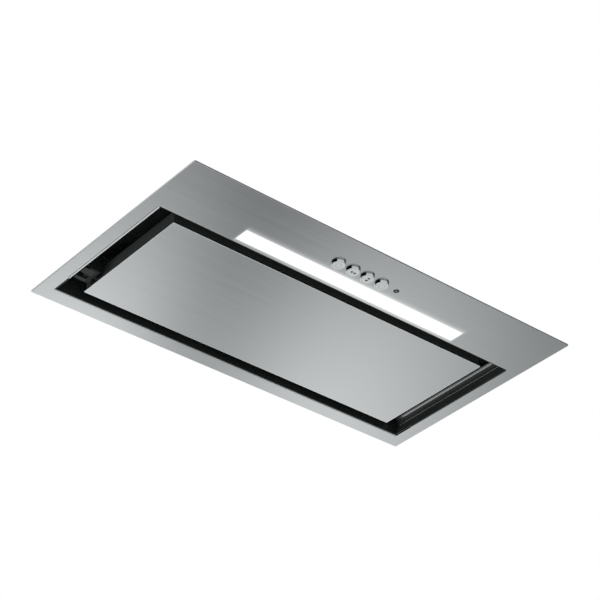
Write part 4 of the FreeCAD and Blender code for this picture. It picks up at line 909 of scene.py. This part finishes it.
def opening_trims(materials):
    """Folded lip and a dark line of painted shade at the opening's left edge, and black strips of painted
    shade over the bend at the right and back.
    """
    left, front, back = opening_edges()
    face_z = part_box("face_frame")[0].z
    lip_x = left + LIP_OVER
    shade_line_x = lip_x - LIP_W
    shade_strip_x = -left - SHADE_STRIP_INSET
    shade_strip_y = back - BACK_SHADE_STRIP_INSET
    side_y = (front + END_INSET, back - BACK_CORNER)
    back_x = (left + END_INSET, -left - END_INSET)
    lip_z = (face_z - LIP_T, face_z + LIP_ROOT)
    shade_line_z = (face_z - SHADE_LINE_T, face_z)
    shade_strip_z = (face_z + SHADE_STRIP_SUNK, face_z + SHADE_STRIP_T)
    trims = (
        ("left_lip", "bright_steel", (shade_line_x, lip_x), side_y, lip_z),
        # Painted shade: a thin black strip for the dark line beside the lip.
        ("left_painted_shade_line", "rubber_black", (shade_line_x - SHADE_LINE_W, shade_line_x), side_y, shade_line_z),
        # Painted shade: black strips that darken the flange's bright bend at the right and back edges.
        ("right_painted_shade", "black_enamel", (shade_strip_x - SHADE_STRIP_W, shade_strip_x), side_y, shade_strip_z),
        ("back_painted_shade", "black_enamel", back_x, (shade_strip_y - BACK_SHADE_STRIP_W, shade_strip_y), shade_strip_z),
    )
    for name, slot, *sides in trims:
        low, high = (Vector(corner) for corner in zip(*sides))
        corner_r = TRIM_ROUNDING * min(high.x - low.x, high.y - low.y)
        fit(rounded_plate(name, low, high, corner_r, TRIM_EDGE), "hood", slot, materials)


def bead(bm, centre, along, across, length, width, height):
    """Raised bead with round ends, standing out along the cross product of its two directions."""
    out = along.cross(across)
    straight = (length - width) / 2
    rings = []
    for level in shares(BEAD_LEVELS):
        rise = math.radians(BEAD_TOP_DEG * level)
        radius = width / 2 * math.cos(rise)
        lift = out * (height * math.sin(rise) if level else -BEAD_ROOT)
        ring = []
        for end in (1, -1):
            for share in shares(BEAD_STEPS):
                turn = math.pi * (share - 1 / 2)
                aside = along * (straight + radius * math.cos(turn)) + across * (radius * math.sin(turn))
                ring.append(bm.verts.new(centre + lift + end * aside))
        rings.append(ring)
    loft(bm, rings)


def weld_row(bm, start, along, across, length):
    """Row of spot-weld dimples from a point on a sheet, each a bead without a straight stretch."""
    count = int(length / WELD_PITCH)
    first = (length - (count - 1) * WELD_PITCH) / 2
    for k in range(count):
        bead(bm, start + along * (first + k * WELD_PITCH), along, across, WELD_D, WELD_D, WELD_H)
    bmesh.ops.remove_doubles(bm, verts=bm.verts, dist=MERGE_DIST)


def wall_beads(node, along, share, materials):
    """Pressed beads and a row of welds on the outside of one wall of the body."""
    low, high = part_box(node)
    size = high - low
    out = along.cross(UP)
    face = middle(node) + Vector((out.x * size.x, out.y * size.y, 0)) / 2
    width = abs(size.dot(along))
    bm = bmesh.new()
    for height in BODY_BEAD_HEIGHTS:
        place = Vector((face.x, face.y, low.z + height * size.z))
        bead(bm, place, along, UP, share * width, BEAD_W, BEAD_H)
    start = Vector((face.x, face.y, low.z + WELD_Z)) - along * (width / 2)
    weld_row(bm, start, along, UP, width)
    fit(solid_object(node + "_beads", bm), "hood", "zinc_steel", materials)


def top_beads(materials):
    """Pressed beads on the body's top plate, one on each side of the outlet."""
    low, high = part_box("top_plate")
    bm = bmesh.new()
    for x in (-TOP_BEAD_X, TOP_BEAD_X):
        place = Vector((x, (low.y + high.y) / 2, high.z))
        bead(bm, place, NORTH, -EAST, TOP_BEAD_SHARE * (high.y - low.y), BEAD_W, BEAD_H)
    fit(solid_object("top_beads", bm), "hood", "zinc_steel", materials)


def pan_beads(materials):
    """Pressed beads on the pan behind the panel."""
    low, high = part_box("panel_backing")
    bm = bmesh.new()
    for share in PAN_BEAD_PLACES:
        place = Vector((0, low.y + share * (high.y - low.y), high.z))
        bead(bm, place, EAST, NORTH, PAN_BEAD_SHARE * (high.x - low.x), BEAD_W, BEAD_H)
    fit(solid_object("pan_beads", bm), "panel", "black_pan", materials)


def flexing_pieces(materials):
    """Copies of the springs and rubber domes listed as deforming with their joints, each on the joint's
    parent body with a mesh of its own.
    """
    slots = {entry["node"]: entry["material_slot"] for entry in frame["record"]["subparts"]}
    for joint in frame["joints"]:
        for flex in joint.get("deforming_nodes", []):
            node = flex["node"]
            bm = bmesh.new()
            bm.from_mesh(frame["nodes"][node].data)
            bmesh.ops.remove_doubles(bm, verts=bm.verts, dist=MERGE_DIST)
            piece = mesh_object(node + "_flexing", bm)
            fit(piece, joint["parent"], slots[node], materials, node)
            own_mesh(piece)


def add_details(materials):
    """Adds every piece that the solids leave to the scene."""
    for node, body in KEYS.items():
        button_cap(node, body, materials)
        cap_face(node, body, materials)
    ring_mark("light_button", KEYS["light_button"], materials)
    dot_marks("low_speed_button", KEYS["low_speed_button"], EAST, materials)
    dot_marks("mid_speed_button", KEYS["mid_speed_button"], NORTH, materials)
    ring_mark("high_speed_button", KEYS["high_speed_button"], materials)
    indicator(materials)
    filter_foil(materials)
    cove_trims(materials)
    bracket_pads(materials)
    opening_trims(materials)
    wall_beads("body_front", EAST, FRONT_BEAD_SHARE, materials)
    wall_beads("body_back", -EAST, FRONT_BEAD_SHARE, materials)
    wall_beads("body_left_side", -NORTH, SIDE_BEAD_SHARE, materials)
    wall_beads("body_right_side", NORTH, SIDE_BEAD_SHARE, materials)
    top_beads(materials)
    pan_beads(materials)
    flexing_pieces(materials)


def one_sided(name, brightness):
    """Stage sheet of an even brightness on its front, and clear from behind."""
    material = bpy.data.materials.new(name)
    nodes = NodeTree(material)
    glow = nodes.add("ShaderNodeEmission")
    glow.inputs["Strength"].default_value = brightness
    clear = nodes.add("ShaderNodeBsdfTransparent")
    side = nodes.add("ShaderNodeNewGeometry").outputs["Backfacing"]
    sheet = nodes.mixed_shader(glow.outputs["Emission"], clear.outputs["BSDF"], side)
    nodes.give(nodes.add("ShaderNodeOutputMaterial").inputs["Surface"], sheet)
    return material


def floor_paint():
    """Pale matt floor paint."""
    shader = Shader("floor_paint")
    dark, light = FLOOR_GREYS
    shader.put("Base Color", shader.tint(shader.noise((3, 3, 3)), grey(dark), grey(light)))
    shader.put("Roughness", FLOOR_ROUGHNESS)
    return shader.material


def add_floor():
    """Wide level floor below the part."""
    bm = bmesh.new()
    bmesh.ops.create_grid(bm, x_segments=1, y_segments=1, size=FLOOR_SIZE / 2)
    floor = mesh_object("floor", bm)
    floor.location = (0, 0, FLOOR_Z)
    floor.data.materials.append(floor_paint())
    floor.visible_glossy = False


def add_board():
    """Cabinet board round the body, which hides the body from below as the cupboard does."""
    inner_x = -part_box("body_left_side")[0].x - BOARD_GAP
    inner_y = -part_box("body_front")[0].y - BOARD_GAP
    outer = BOARD_SIZE / 2
    bm = bmesh.new()
    ring = []
    for x, y in ((-1, -1), (1, -1), (1, 1), (-1, 1)):
        near = bm.verts.new((x * inner_x, y * inner_y, BOARD_LIFT))
        far = bm.verts.new((x * outer, y * outer, BOARD_LIFT))
        ring.append((near, far))
    for (near, far), (next_near, next_far) in zip(ring, ring[1:] + ring[:1]):
        front_face(bm, (near, next_near, next_far, far), -UP)
    board = mesh_object("cabinet_board", bm)
    board.data.materials.append(one_sided("board_white", 1.0))
    board.visible_glossy = False
    board.visible_diffuse = False
    board.visible_transmission = False
    board.visible_shadow = False


def add_card(name, material, route, heights, facing):
    """Upright stage card along points in plan, seen in reflections alone, with its front towards a point."""
    bm = bmesh.new()
    posts = [[bm.verts.new((x, y, z)) for z in heights] for x, y in route]
    for first, second in zip(posts, posts[1:]):
        front_face(bm, (first[0], first[1], second[1], second[0]), facing - first[0].co)
    card = mesh_object(name, bm)
    card.data.materials.append(material)
    card.visible_camera = False
    card.visible_diffuse = False
    card.visible_transmission = False
    card.visible_shadow = False


def add_flags():
    """Small black cards close round the left side of each button, for the dark crescents there."""
    black = one_sided("flag_black", 0.0)
    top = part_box("face_frame")[0].z
    radius = CAP_BARREL_R + FLAG_GAP
    start, end = FLAG_DEG
    for node in KEYS:
        centre = middle(node)
        route = []
        for share in shares(FLAG_STEPS):
            angle = math.radians(start + (end - start) * share)
            route.append((centre.x + radius * math.cos(angle), centre.y + radius * math.sin(angle)))
        add_card(node + "_flag", black, route, (top, top - FLAG_DROP), centre)


def add_edge_card():
    """Narrow dark card close to the face's front edge, for the dark line there."""
    low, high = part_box("face_frame")
    y = low.y - EDGE_CARD_GAP
    heights = (low.z - EDGE_CARD_DROP, high.z + EDGE_CARD_RISE)
    material = one_sided("edge_card_grey", EDGE_CARD_LEVEL)
    add_card("edge_card", material, ((low.x, y), (high.x, y)), heights, middle("face_frame"))


materials = make_materials()
dress_nodes(materials)
add_details(materials)
add_camera()
light_world()
add_lamp("key_lamp", **KEY_LAMP)
add_lamp("fill_lamp", **FILL_LAMP)
add_floor()
add_board()
add_flags()
add_edge_card()

bpy.context.scene.view_settings.view_transform = "Standard"
